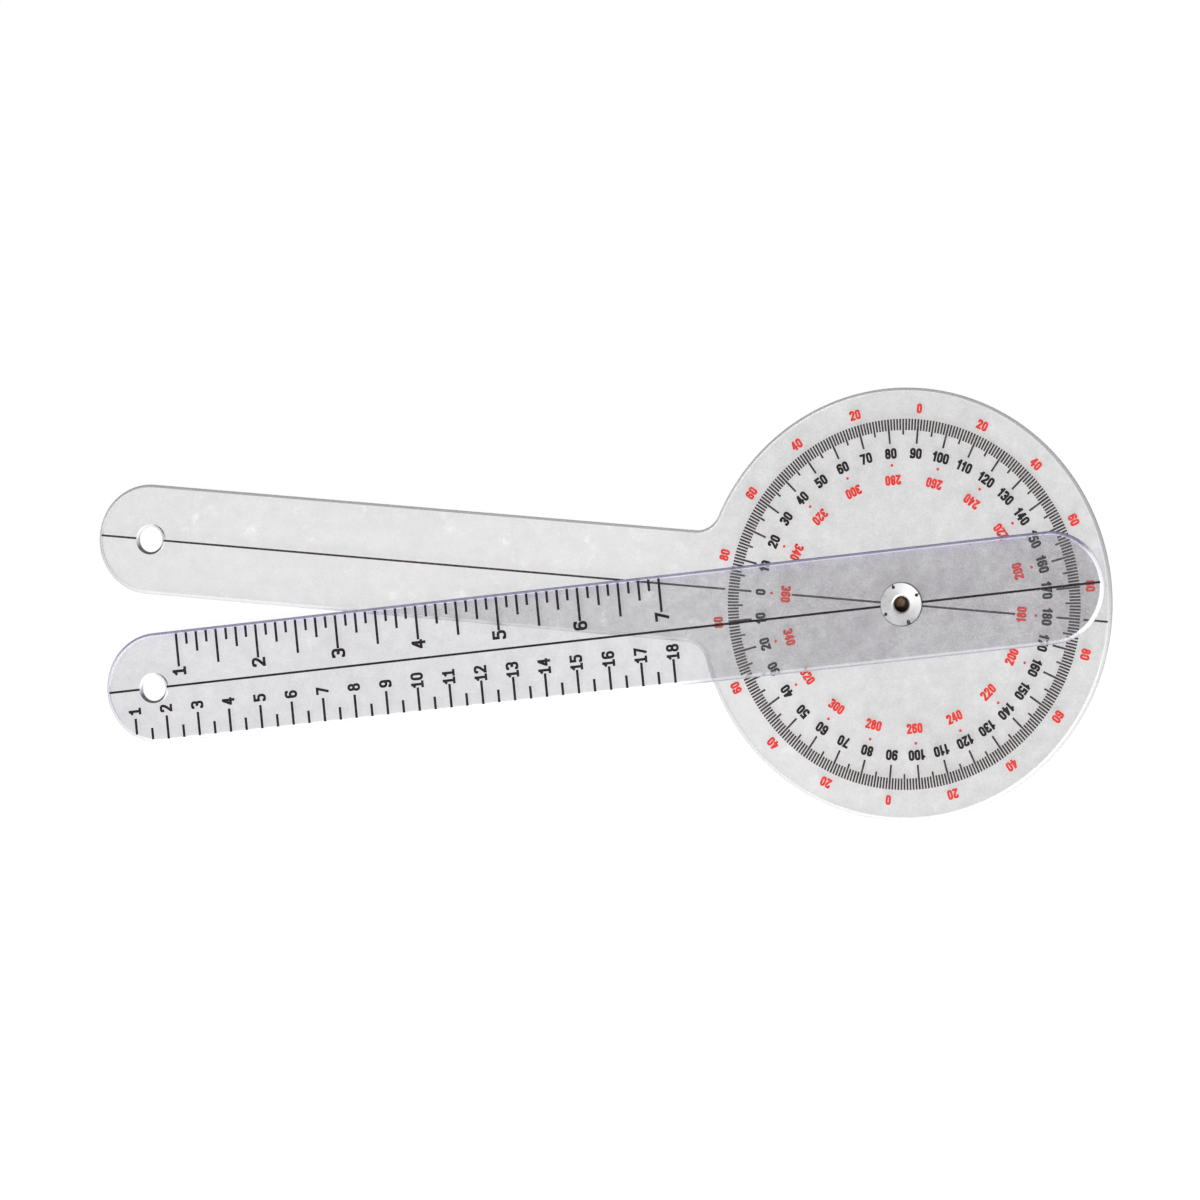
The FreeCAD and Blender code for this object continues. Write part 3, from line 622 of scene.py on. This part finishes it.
def polish(metal, place, dull, settings):
    """The clenched flange's shine, a painted reflection with real dull patches: 0 where it is
    bright, 1 where it is dull and where the painted reflection is dark.
    """
    x, y, _ = metal.parts(place)
    along, across, _ = metal.parts(metal.stretched(place, settings.wedge_turn))
    squared = x * x + y * y
    painted_wedges = ((along * along - across * across) / (squared + TINY * TINY)).step(*OPPOSITE)
    half = (along / (squared.root() + TINY)).step(*OPPOSITE)
    return (half * HALF_SHARE + painted_wedges * WEDGE_SHARE + dull * DULL_SHARE).step(*SHINE_SPREAD)


def rivet_metal(settings, top):
    """Polished aluminium with tool marks, dull patches and a painted reflection, brown tarnish down
    in the hollow, and painted shade in the hollow and the relief holes.
    """
    metal = Shader(bpy.data.materials.new("rivet_metal"))
    place = metal.place()
    x, y, z = metal.parts(place)
    radius = (x * x + y * y).root()
    patch = metal.noise(place, *METAL_PATCH)
    fine = metal.noise(place, *METAL_FINE)
    swirl = metal.noise(metal.stretched(place, SWIRL_TURN, SWIRL_SHAPE), *SWIRL_GRAIN)
    dull = patch.step(*DULLED)

    def below(depths):
        """A mask over the depth below the flange's face."""
        return z.step(*(top - depth for depth in depths))

    inside = radius.step(settings.hollow_radius + HOLLOW_FADE, settings.hollow_radius)
    hollow = inside * below(settings.hollow_depth + fade for fade in TARNISH_FADE)
    outer = radius.step(settings.relief_inside, settings.relief_inside + RELIEF_FADE)
    inner = radius.step(settings.relief_outside, settings.relief_outside - RELIEF_FADE)
    # Painted shade on the walls of the small relief holes.
    relief_hole = below(RELIEF_SHADE_STARTS) * below(RELIEF_SHADE_ENDS) * outer * inner
    # Painted reflection: bright metal where the painted halves and wedges are light, the dull
    # colour where they are dark and in real dull patches.
    shine_and_dull_mask = polish(metal, place, dull, settings)
    clean = metal.blend(shine_and_dull_mask, settings.bright, settings.dull)
    face = metal.blend(relief_hole, clean, settings.soot)

    # Painted shade in the hollow: brown tarnish on the lit spot of the wall, dark further from it.
    off_x, off_y = x - settings.spot_x, y - settings.spot_y
    off_z = (z - settings.spot_z) * SPOT_DEPTH_SHARE
    from_spot = (off_x * off_x + off_y * off_y + off_z * off_z).root()
    shaded = from_spot.step(settings.spot_radius * SPOT_CORE, settings.spot_radius)
    lining = metal.blend(shaded, settings.tarnish, settings.deep_soot)
    relief = {
        "Strength": METAL_STRENGTH,
        "Distance": settings.dent,
        "Height": patch + swirl * SWIRL_RELIEF + fine * FINE_RELIEF,
    }
    worn = METAL_ROUGH + dull * DULL_ROUGH + swirl * SWIRL_ROUGH
    surface = metal.node(
        "ShaderNodeBsdfPrincipled",
        inputs={
            "Base Color": metal.blend(hollow, face, lining),
            "Metallic": 1.0 - hollow * HOLLOW_DIRT,
            "Roughness": worn + hollow * HOLLOW_ROUGH,
            "Normal": metal.node("ShaderNodeBump", inputs=relief),
        },
    )
    return metal.finish(surface)


def paper_floor(settings):
    """White paper that keeps the soft shadow and shows as a white background."""
    paper = Shader(bpy.data.materials.new("paper"))
    fibre = paper.noise(paper.place(), *PAPER_FIBRE)
    lit = paper.node(
        "ShaderNodeBsdfPrincipled",
        inputs={
            "Base Color": paper.blend(fibre, settings.paper, FIBRE_TINT),
            "Roughness": PAPER_ROUGH,
            "Specular IOR Level": 0.0,
        },
    )
    glow = paper.node("ShaderNodeEmission", inputs={"Color": WHITE, "Strength": 1.0})
    inner = paper.rays("Is Glossy Ray", "Is Transmission Ray") * settings.inner_glow
    seen = inner.either(paper.rays("Is Camera Ray") * settings.glow)
    return paper.finish(paper.mix(seen, lit, glow))


def dress(piece, material):
    """Give a piece one material in all its slots."""
    if not piece.material_slots:
        piece.data.materials.append(material)
    for socket in piece.material_slots:
        socket.material = material


# ---------------------------------------------------------------- mesh helpers

# How many straight steps stand for each curve.
HEAD_STEPS = 240
END_STEPS = 96
RING_STEPS = 96
BLEND_STEPS = 12
ROUND_STEPS = 6
# The kind of triangles that delaunay_2d_cdt gives back: those inside the outermost ring.
TRIANGLES_INSIDE = 1


def new_piece(name, bm, body=None):
    """Turn a bmesh into an object that rides on a body."""
    mesh = bpy.data.meshes.new(name)
    bm.to_mesh(mesh)
    bm.free()
    piece = bpy.data.objects.new(name, mesh)
    bpy.context.scene.collection.objects.link(piece)
    if body:
        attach(piece, body)
    return piece


def arc(centre, radius, start, end, steps, hollow=False):
    """Points on an arc with the direction that leaves the sheet there; angles in degrees."""
    points = []
    for step in range(steps + 1):
        turn = math.radians(start + (end - start) * step / steps)
        spoke = Vector((math.cos(turn), math.sin(turn)))
        points.append((Vector(centre) + spoke * radius, -spoke if hollow else spoke))
    return points


def joined(*runs):
    """One closed loop out of runs of points, with each shared end kept once."""
    loop = []
    for point, way in (pair for run in runs for pair in run):
        if not loop or (point - loop[-1][0]).length > TINY:
            loop.append((point, way))
    if (loop[0][0] - loop[-1][0]).length <= TINY:
        loop.pop()
    return loop


def circle(centre, radius, hollow):
    """A closed ring of points with their directions; hollow for the wall of a hole."""
    return arc(centre, radius, 0, FULL_TURN, RING_STEPS, hollow)[:-1]


def edge_profile(low, high, inset, drop):
    """How a rounded edge goes from the underside to the top: (inset, height)."""
    profile = []
    for level, first in ((low + drop, -QUARTER_TURN), (high - drop, 0)):
        for step in range(ROUND_STEPS + 1):
            turn = math.radians(first + QUARTER_TURN * step / ROUND_STEPS)
            profile.append((inset * (1 - math.cos(turn)), level + drop * math.sin(turn)))
    return profile


def add_wall(bm, loop, profile):
    """A closed wall along a loop of points; returns its lowest and its highest ring."""
    rings = []
    for inset, height in profile:
        ring = [bm.verts.new((*(point - way * inset), height)) for point, way in loop]
        rings.append(ring)
    for lower, upper in zip(rings, rings[1:]):
        for index in range(len(loop)):
            after = (index + 1) % len(loop)
            quad = bm.faces.new((lower[index], lower[after], upper[after], upper[index]))
            quad.smooth = True
    return rings[0], rings[-1]


def add_cap(bm, rings):
    """A flat face inside the first ring and outside the others, in triangles."""
    corners = [corner for ring in rings for corner in ring]
    owners = [number for number, ring in enumerate(rings) for _ in ring]
    edges = []
    for ring in rings:
        start = len(edges)
        edges += [(start + index, start + (index + 1) % len(ring)) for index in range(len(ring))]
    flat = [corner.co.to_2d() for corner in corners]
    for triangle in delaunay_2d_cdt(flat, edges, [], TRIANGLES_INSIDE, TINY)[2]:
        touched = {owners[index] for index in triangle}
        if len(touched) > 1 or 0 in touched:
            bm.faces.new([corners[index] for index in triangle])


def clear_sheet(name, outline, holes, levels, settings, placing):
    """A flat sheet with rounded outer edges and crisp holes."""
    bm = bmesh.new()
    low, high = levels
    profile = edge_profile(low, high, settings.edge_inset, settings.edge_drop)
    walls = [add_wall(bm, outline, profile)]
    for centre, diameter in holes:
        profile = edge_profile(low, high, settings.hole_round, settings.hole_round)
        walls.append(add_wall(bm, circle((centre, 0), diameter / 2, hollow=True), profile))
    for rings in zip(*walls):
        add_cap(bm, rings)
    bmesh.ops.recalc_face_normals(bm, faces=bm.faces)
    bm.transform(placing)
    return new_piece(name, bm)


# ---------------------------------------------------------------- numbers drawn with strokes

# Each digit's strokes in a unit box: how the corners are drawn, then the points.
STROKES = {
    "0": [("loop", [(0, 0), (0, 1), (1, 1), (1, 0)])],
    "1": [("sharp", [(0.78, 0), (0.78, 1)]), ("sharp", [(0.66, 0.92), (0.08, 0.76)])],
    "footed 1": [
        ("sharp", [(0.5, 0.1), (0.5, 1)]),
        ("sharp", [(0.4, 0.92), (0.02, 0.8)]),
        ("sharp", [(0, 0), (1, 0)]),
    ],
    "2": [
        ("round", [(0, 0.82), (0, 1), (1, 1), (1, 0.62), (0.16, 0.14)]),
        ("sharp", [(0, 0), (1, 0)]),
    ],
    "3": [
        ("round", [(0, 0.9), (0, 1), (1, 1), (1, 0.53), (0.5, 0.53)]),
        ("round", [(0.6, 0.49), (1, 0.49), (1, 0), (0, 0), (0, 0.1)]),
    ],
    "4": [
        ("sharp", [(0.76, 0), (0.76, 1)]),
        ("sharp", [(0, 0.28), (1, 0.28)]),
        ("sharp", [(0.1, 0.42), (0.56, 0.9)]),
    ],
    "5": [
        ("sharp", [(0.95, 1), (0.04, 1), (0.04, 0.7)]),
        ("round", [(0.06, 0.6), (1, 0.62), (1, 0), (0, 0), (0, 0.1)]),
    ],
    "6": [
        ("round", [(1, 0.9), (1, 1), (0, 1), (0, 0.5)]),
        ("loop", [(0, 0), (0, 0.58), (1, 0.58), (1, 0)]),
    ],
    "7": [("sharp", [(0, 1), (0.98, 1), (0.34, 0)])],
    "8": [
        ("loop", [(0, 0), (0, 0.53), (1, 0.53), (1, 0)]),
        ("loop", [(0.05, 0.53), (0.05, 1), (0.95, 1), (0.95, 0.53)]),
    ],
    "9": [
        ("round", [(0, 0.1), (0, 0), (1, 0), (1, 0.5)]),
        ("loop", [(0, 0.42), (0, 1), (1, 1), (1, 0.42)]),
    ],
}
# Widths of the two kinds of 1, as shares of a digit's width.
NARROW_ONE = 0.8
FOOTED_ONE = 0.9
# How far a corner is rounded, as a share of a digit's width.
FOOTED_BEND = 0.5
PLAIN_BEND = 0.36
CORNER_STEPS = 6
# A stroke grows no further than this share allows where it bends.
SHARPEST_BEND = 0.5
# Where strokes cross, each later one is printed a little thicker than the one before.
OVERPRINT = 1.25


def round_corners(points, bend, closed):
    """The path through the points with its corners rounded off."""
    path = []
    for index, corner in enumerate(points):
        if not closed and index in (0, len(points) - 1):
            path.append(corner)
            continue
        before = points[index - 1] - corner
        after = points[(index + 1) % len(points)] - corner
        start = corner + before.normalized() * min(bend, before.length / 2)
        end = corner + after.normalized() * min(bend, after.length / 2)
        for step in range(CORNER_STEPS + 1):
            t = step / CORNER_STEPS
            point = start * (1 - t) ** 2 + corner * (2 * t * (1 - t)) + end * t**2
            if not path or (point - path[-1]).length > TINY:
                path.append(point)
    if closed and (path[0] - path[-1]).length < TINY:
        path.pop()
    return path


def add_stroke(bm, path, half, closed, place, film):
    """A flat stroke of ink along a path, with square ends."""
    if not closed:
        path = list(path)
        path[0] = path[0] + (path[0] - path[1]).normalized() * half
        path[-1] = path[-1] + (path[-1] - path[-2]).normalized() * half
    count = len(path)
    rings = []
    for index, point in enumerate(path):
        after = path[(index + 1) % count] - point
        before = point - path[index - 1]
        if not closed and index == 0:
            before = after
        if not closed and index == count - 1:
            after = before
        way = before.normalized() + after.normalized()
        side = Vector((-way.y, way.x)).normalized()
        reach = half / max(SHARPEST_BEND, side.dot(Vector((-after.y, after.x)).normalized()))
        ring = []
        for offset, rise in ((-reach, 0), (reach, 0), (reach, film), (-reach, film)):
            x, y = point + side * offset
            ring.append(bm.verts.new(place @ Vector((x, y, rise))))
        rings.append(ring)
    pairs = list(zip(rings, rings[1:] + rings[:1])) if closed else list(zip(rings, rings[1:]))
    for first, second in pairs:
        for index in range(4):
            after = (index + 1) % 4
            bm.faces.new((first[index], first[after], second[after], second[index]))
    if not closed:
        bm.faces.new(rings[0])
        bm.faces.new(reversed(rings[-1]))


def add_number(bm, value, look, place, film):
    """One number with its digits side by side, centred on its place."""
    digits = []
    for character in str(value):
        if character != "1":
            digits.append((character, look.width))
        elif look.footed:
            digits.append(("footed 1", look.width * FOOTED_ONE))
        else:
            digits.append(("1", look.width * NARROW_ONE))
    total = sum(width for _, width in digits) + look.space * (len(digits) - 1)
    left = -total / 2
    half = look.stroke / 2
    for key, width in digits:
        for layer, (kind, points) in enumerate(STROKES[key]):
            corners = [
                Vector(
                    (
                        left + half + x * (width - look.stroke),
                        half - look.height / 2 + y * (look.height - look.stroke),
                    )
                )
                for x, y in points
            ]
            closed = kind == "loop"
            path = corners if kind == "sharp" else round_corners(corners, look.bend, closed)
            add_stroke(bm, path, half, closed, place, film * OVERPRINT**layer)
        left += width + look.space


def turned(degrees):
    """A turn about Z."""
    return Matrix.Rotation(math.radians(degrees), 4, "Z")


def heading(azimuth, flat, rise):
    """A direction that goes so far along the floor, that way round from +X, and so far up."""
    return Vector((flat * math.cos(azimuth), flat * math.sin(azimuth), rise))


def print_numbers(name, numbers, look, body, colour_name):
    """One piece that holds a whole series of numbers: (value, place)."""
    bm = bmesh.new()
    film = bpy.context.scene.angle_finder_inks.film
    for value, place in numbers:
        add_number(bm, value, look, place, film)
    bmesh.ops.recalc_face_normals(bm, faces=bm.faces)
    piece = new_piece(name, bm, body)
    dress(piece, print_ink(f"{colour_name}_print"))


def stored_angle():
    """The ruler arm's stored turn about the swing axis, read from its hanging hole."""
    hole = mount_point("ruler_hang_hole")
    return math.degrees(math.atan2(-hole.y, -hole.x))


def mount_point(name):
    """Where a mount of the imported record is."""
    mounts = frame["record"]["mounts"]
    return next(Vector(mount["pos_m"]) for mount in mounts if mount["name"] == name)


# The materials of the print, with their settings where the ink is thick and where it is thin.
PRINTS = {
    "black_print": ("black", "worn_black"),
    "line_print": ("lines", "worn_lines"),
    "red_print": ("red", "worn_red"),
}


def print_ink(name):
    """One of the printing inks, made when it is first wanted."""
    inks = bpy.context.scene.angle_finder_inks
    solid, worn = (getattr(inks, key) for key in PRINTS[name])
    return bpy.data.materials.get(name) or ink(name, solid, worn)


# ---------------------------------------------------------------- operators

# How much wider the swinging arm's bore is than the hole that the rivet fills.
BORE_CLEARANCE = 0.1 * MM
FLOOR_RADIUS = 12.0
FLOOR_STEPS = 64
# The way to the bright side of the sky, and masks over it and over the sky's height.
BRIGHT_WAY = (0.6, -0.6, 0.5)
BRIGHT_SKY = (-0.2, 0.2)
HIGH_SKY = (0.25, 0.8)


class ANGLEFINDER_OT_clear_sheets(bpy.types.Operator):
    """Make the two clear arms, with rounded edges, in place of the plain ones."""

    bl_idname = "angle_finder.clear_sheets"
    bl_label = "Clear Sheets"

    def execute(self, context):
        settings = context.scene.angle_finder_sheets
        self.make_dial(settings)
        self.make_ruler(settings)
        return {"FINISHED"}

    def make_dial(self, settings):
        """The round head with its arm."""
        low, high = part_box("dial_arm")
        radius, reach, half = high.x, -low.x, settings.arm_width / 2
        blend = settings.head_blend
        corner = Vector((-math.sqrt((radius + blend) ** 2 - (half + blend) ** 2), half + blend))
        meet = math.degrees(math.atan2(corner.y, corner.x))
        outline = joined(
            arc((0, 0), radius, -meet, meet, HEAD_STEPS),
            arc(corner, blend, meet - 180, -90, BLEND_STEPS, hollow=True),
            arc((half - reach, 0), half, 90, 270, END_STEPS),
            arc((corner.x, -corner.y), blend, 90, 180 - meet, BLEND_STEPS, hollow=True),
        )
        hang = mount_point("dial_hang_hole")
        holes = [(0, settings.shank_hole), (hang.x, settings.hang_hole)]
        piece = clear_sheet(
            "clear_dial_arm", outline, holes, (low.z, high.z), settings, Matrix.Identity(4)
        )
        plastic = clear_plastic("clear_dial", settings.dial, hang, RIGHT_OF_ALL, settings)
        self.fit(piece, "dial", "dial_arm", "dial_sheet", plastic)

    def make_ruler(self, settings):
        """The swinging arm, laid along X and then turned to its stored angle."""
        half = settings.arm_width / 2
        low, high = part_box("ruler_arm")
        turn = stored_angle()
        cad = frame["nodes"]["ruler_arm"].data
        along = [(turned(-turn) @ vertex.co).x for vertex in cad.vertices]
        outline = joined(
            arc((min(along) + half, 0), half, 90, 270, END_STEPS),
            arc((max(along) - half, 0), half, -90, 90, END_STEPS),
        )
        hang = mount_point("ruler_hang_hole")
        bore = settings.shank_hole + BORE_CLEARANCE
        holes = [(0, bore), (-hang.to_2d().length, settings.hang_hole)]
        piece = clear_sheet(
            "clear_ruler_arm", outline, holes, (low.z, high.z), settings, turned(turn)
        )
        # The round head reaches as far to the left of the rivet as it does downward.
        head_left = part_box("dial_arm")[0].y
        plastic = clear_plastic("clear_ruler", settings.ruler, hang, head_left, settings)
        self.fit(piece, "ruler", "ruler_arm", "ruler_sheet", plastic)

    def fit(self, piece, body, node, slot, plastic):
        """Hang a clear sheet on its body in place of the plain one."""
        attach(piece, body)
        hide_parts(node)
        dress(piece, plastic)


class ANGLEFINDER_OT_printed_scales(bpy.types.Operator):
    """Print the scales, lines and dots in black and red ink."""

    bl_idname = "angle_finder.printed_scales"
    bl_label = "Printed Scales"

    def execute(self, context):
        prints = {
            "dial_scale": "line_print",
            "ruler_scale": "black_print",
            "dial_dots": "red_print",
        }
        for node, name in prints.items():
            dress(frame["nodes"][node], print_ink(name))
        return {"FINISHED"}


class ANGLEFINDER_OT_dial_numbers(bpy.types.Operator):
    """Print the three circles of numbers on the dial."""

    bl_idname = "angle_finder.dial_numbers"
    bl_label = "Dial Numbers"

    def execute(self, context):
        looks = context.scene.angle_finder_numbers
        self.print_circle(
            "dial_degree_numbers",
            looks.black,
            "black",
            {degrees: degrees for degrees in range(0, HALF_TURN + 1, BLACK_STEP)},
            -QUARTER_TURN,
        )
        self.print_circle(
            "dial_outer_red_numbers",
            looks.outer,
            "red",
            {turn: abs(QUARTER_TURN - turn) for turn in range(BLACK_STEP, HALF_TURN, RED_STEP)},
            -QUARTER_TURN,
        )
        self.print_circle(
            "dial_inner_red_numbers",
            looks.inner,
            "red",
            {degrees: FULL_TURN - degrees for degrees in range(0, HALF_TURN + 1, RED_STEP)},
            QUARTER_TURN,
        )
        return {"FINISHED"}

    def print_circle(self, name, look, colour_name, values, lean):
        """One circle of numbers: the value to print at each number of degrees."""
        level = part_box("dial_arm")[1].z
        numbers = [
            (value, self.place(look, degrees, side, lean, level))
            for degrees, value in values.items()
            for side in self.sides(degrees)
        ]
        print_numbers(name, numbers, look, "dial", colour_name)

    def sides(self, degrees):
        """Both halves of the dial, or one where they meet."""
        return (1,) if degrees in (0, HALF_TURN) else (1, -1)

    def place(self, look, degrees, side, lean, level):
        """Where a number stands, counted round from the dial's arm, and which way it leans."""
        round_dial = turned(HALF_TURN - side * degrees)
        return round_dial @ Matrix.Translation((look.distance, 0, level)) @ turned(lean)


class ANGLEFINDER_OT_ruler_numbers(bpy.types.Operator):
    """Print the inch and centimetre numbers on the ruler arm."""

    bl_idname = "angle_finder.ruler_numbers"
    bl_label = "Ruler Numbers"

    def execute(self, context):
        looks = context.scene.angle_finder_numbers
        rows = [
            ("ruler_inch_numbers", looks.inches, looks.inch, LAST_INCH, 1),
            ("ruler_centimetre_numbers", looks.centimetres, looks.centimetre, LAST_CENTIMETRE, -1),
        ]
        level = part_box("ruler_arm")[1].z
        arm = turned(stored_angle())
        for name, look, unit, last, side in rows:
            numbers = []
            for value in range(1, last + 1):
                spot = (value * unit - looks.scale_zero, side * look.distance, level)
                numbers.append((value, arm @ Matrix.Translation(spot) @ turned(QUARTER_TURN)))
            print_numbers(name, numbers, look, "ruler", "black")
        return {"FINISHED"}


class ANGLEFINDER_OT_rivet(bpy.types.Operator):
    """Give the rivet its worn aluminium, and a thin dark ring of painted shade under its flange."""

    bl_idname = "angle_finder.rivet"
    bl_label = "Rivet"

    def execute(self, context):
        settings = context.scene.angle_finder_rivet
        dress(frame["nodes"]["rivet"], rivet_metal(settings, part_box("rivet")[1].z))
        self.lay_grime(settings)
        return {"FINISHED"}

    def lay_grime(self, settings):
        """A thin dark ring of painted shade between the ruler arm and the flange."""
        bm = bmesh.new()
        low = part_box("ruler_arm")[1].z
        high = low + settings.grime_film
        rims = []
        for radius, hollow in ((settings.grime_outside, False), (settings.grime_inside, True)):
            rims.append(add_wall(bm, circle((0, 0), radius, hollow), [(0, low), (0, high)]))
        for rings in zip(*rims):
            add_cap(bm, rings)
        bmesh.ops.recalc_face_normals(bm, faces=bm.faces)
        shade_ring = new_piece("rivet_grime", bm, "dial")
        dress(shade_ring, ink("rivet_grime", settings.soot, settings.tarnish))


class ANGLEFINDER_OT_stage(bpy.types.Operator):
    """Set the floor, the soft light and the camera."""

    bl_idname = "angle_finder.stage"
    bl_label = "Stage"

    def execute(self, context):
        settings = context.scene.angle_finder_stage
        self.lay_floor(settings)
        self.hang_lamp(context, settings)
        self.make_sky(context, settings)
        self.aim_camera(context, settings)
        context.scene.view_settings.view_transform = "Standard"
        return {"FINISHED"}

    def lay_floor(self, settings):
        """A wide sheet of paper that the rivet's head rests on."""
        bm = bmesh.new()
        bmesh.ops.create_circle(bm, cap_ends=True, segments=FLOOR_STEPS, radius=FLOOR_RADIUS)
        bm.transform(Matrix.Translation((0, 0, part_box("rivet")[0].z)))
        floor = new_piece("paper_floor", bm)
        dress(floor, paper_floor(settings))

    def target(self, settings):
        """The point that the lamp and the camera face."""
        return Vector((settings.aim_x, settings.aim_y, 0))

    def hang_lamp(self, context, settings):
        """One large soft lamp."""
        data = bpy.data.lights.new("soft_lamp", "AREA")
        data.shape = "SQUARE"
        data.size = settings.key_size
        data.energy = settings.key_power
        lamp = bpy.data.objects.new("soft_lamp", data)
        height = settings.key_elevation
        away = heading(settings.key_azimuth, math.cos(height), math.sin(height))
        lamp.location = self.target(settings) + away * settings.key_distance
        lamp.rotation_euler = (-away).to_track_quat("-Z", "Y").to_euler()
        context.scene.collection.objects.link(lamp)

    def make_sky(self, context, settings):
        """Even light from all round, and a background that is darker on one side."""
        world = bpy.data.worlds.new("studio")
        context.scene.world = world
        sky = Shader(world)
        x, y, z = sky.parts(sky.node("ShaderNodeTexCoord", output="Generated"))
        way_x, way_y, way_z = BRIGHT_WAY
        bright = (x * way_x + y * way_y + z * way_z).step(*BRIGHT_SKY)
        high = sky.blend(z.step(*HIGH_SKY), settings.sky_low, WHITE)
        shown = sky.blend(bright, settings.sky_dark, high)
        light = sky.node("ShaderNodeBackground", inputs=[WHITE, settings.sky])
        mirrored = sky.node("ShaderNodeBackground", inputs=[shown, 1.0])
        plain = sky.node("ShaderNodeBackground", inputs=[WHITE, 1.0])
        around = sky.mix(sky.rays("Is Glossy Ray", "Is Transmission Ray"), light, mirrored)
        sky.finish(sky.mix(sky.rays("Is Camera Ray"), around, plain))

    def aim_camera(self, context, settings):
        """A long lens that looks down on the tool from one side."""
        data = bpy.data.cameras.new("camera")
        data.lens = settings.lens
        camera = bpy.data.objects.new("camera", data)
        away = heading(settings.azimuth, math.sin(settings.tilt), math.cos(settings.tilt))
        right = Vector((0, 1, 0)).cross(away).normalized()
        up = away.cross(right)
        turn = Matrix((right, up, away)).transposed().to_4x4()
        spot = self.target(settings) + away * settings.distance
        roll = Matrix.Rotation(-settings.roll, 4, "Z")
        camera.matrix_world = Matrix.Translation(spot) @ turn @ roll
        context.scene.collection.objects.link(camera)
        context.scene.camera = camera


class ANGLEFINDER_PT_panel(bpy.types.Panel):
    """The steps that dress the angle finder."""

    bl_idname = "ANGLEFINDER_PT_panel"
    bl_label = "Angle Finder"
    bl_space_type = "VIEW_3D"
    bl_region_type = "UI"
    bl_category = "Angle Finder"

    def draw(self, context):
        for operator in OPERATORS:
            self.layout.operator(operator.bl_idname)
        for name in SETTINGS:
            self.draw_group(self.layout.box(), getattr(context.scene, name))

    def draw_group(self, layout, group):
        """Every setting of a group, with the groups inside it in boxes of their own."""
        for key in group.__annotations__:
            value = getattr(group, key)
            if isinstance(value, bpy.types.PropertyGroup):
                box = layout.box()
                box.label(text=group.bl_rna.properties[key].name)
                self.draw_group(box, value)
            else:
                layout.prop(group, key)


OPERATORS = [
    ANGLEFINDER_OT_clear_sheets,
    ANGLEFINDER_OT_printed_scales,
    ANGLEFINDER_OT_dial_numbers,
    ANGLEFINDER_OT_ruler_numbers,
    ANGLEFINDER_OT_rivet,
    ANGLEFINDER_OT_stage,
]
CLASSES = [SheetLook, NumberLook, *SETTINGS.values(), *OPERATORS, ANGLEFINDER_PT_panel]

# How each series of numbers differs from the plain look, in millimetres.
NUMBER_LOOKS = {
    "black": {"height": 3.1, "width": 1.75, "stroke": 0.72, "space": 0.08, "distance": 43.6},
    "outer": {"height": 2.9, "width": 1.6, "stroke": 0.68, "space": 0.08, "distance": 56.6},
    "inner": {"height": 2.95, "width": 1.55, "stroke": 0.68, "space": 0.07, "distance": 35.9},
    "inches": {"height": 4.4, "width": 2.7, "stroke": 0.86, "space": 0.3, "distance": 4.2},
    "centimetres": {"height": 4.0, "width": 2.25, "stroke": 0.78, "space": 0.2, "distance": 6.3},
}

# How the ruler arm's sheet differs from the dial's.
RULER_LOOK = {
    "tint": (0.575, 0.556, 0.586),
    "pale": (0.647, 0.641, 0.657),
    "rim": (0.18, 0.175, 0.30),
    "shoulder": (0.92, 0.92, 0.96),
    "cast": 0.55,
    "gleam": 0.8,
    "marks": 0.25,
}


def register():
    """Register every class and hang the settings on the scene."""
    for kind in CLASSES:
        bpy.utils.register_class(kind)
    for name, group in SETTINGS.items():
        setattr(bpy.types.Scene, name, PointerProperty(type=group))


def unregister():
    """Undo register."""
    for name in SETTINGS:
        delattr(bpy.types.Scene, name)
    for kind in reversed(CLASSES):
        bpy.utils.unregister_class(kind)


def set_looks(scene):
    """Give the ruler arm's sheet and each series of numbers its own look."""
    for key, value in RULER_LOOK.items():
        setattr(scene.angle_finder_sheets.ruler, key, value)
    for name, values in NUMBER_LOOKS.items():
        look = getattr(scene.angle_finder_numbers, name)
        for key, millimetres in values.items():
            setattr(look, key, millimetres * MM)
        look.footed = name in ("inches", "centimetres")
        look.bend = look.width * (FOOTED_BEND if look.footed else PLAIN_BEND)


def main():
    """Register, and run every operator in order."""
    register()
    set_looks(bpy.context.scene)
    for operator in OPERATORS:
        group, action = operator.bl_idname.split(".")
        getattr(getattr(bpy.ops, group), action)()


if __name__ == "__main__":
    main()
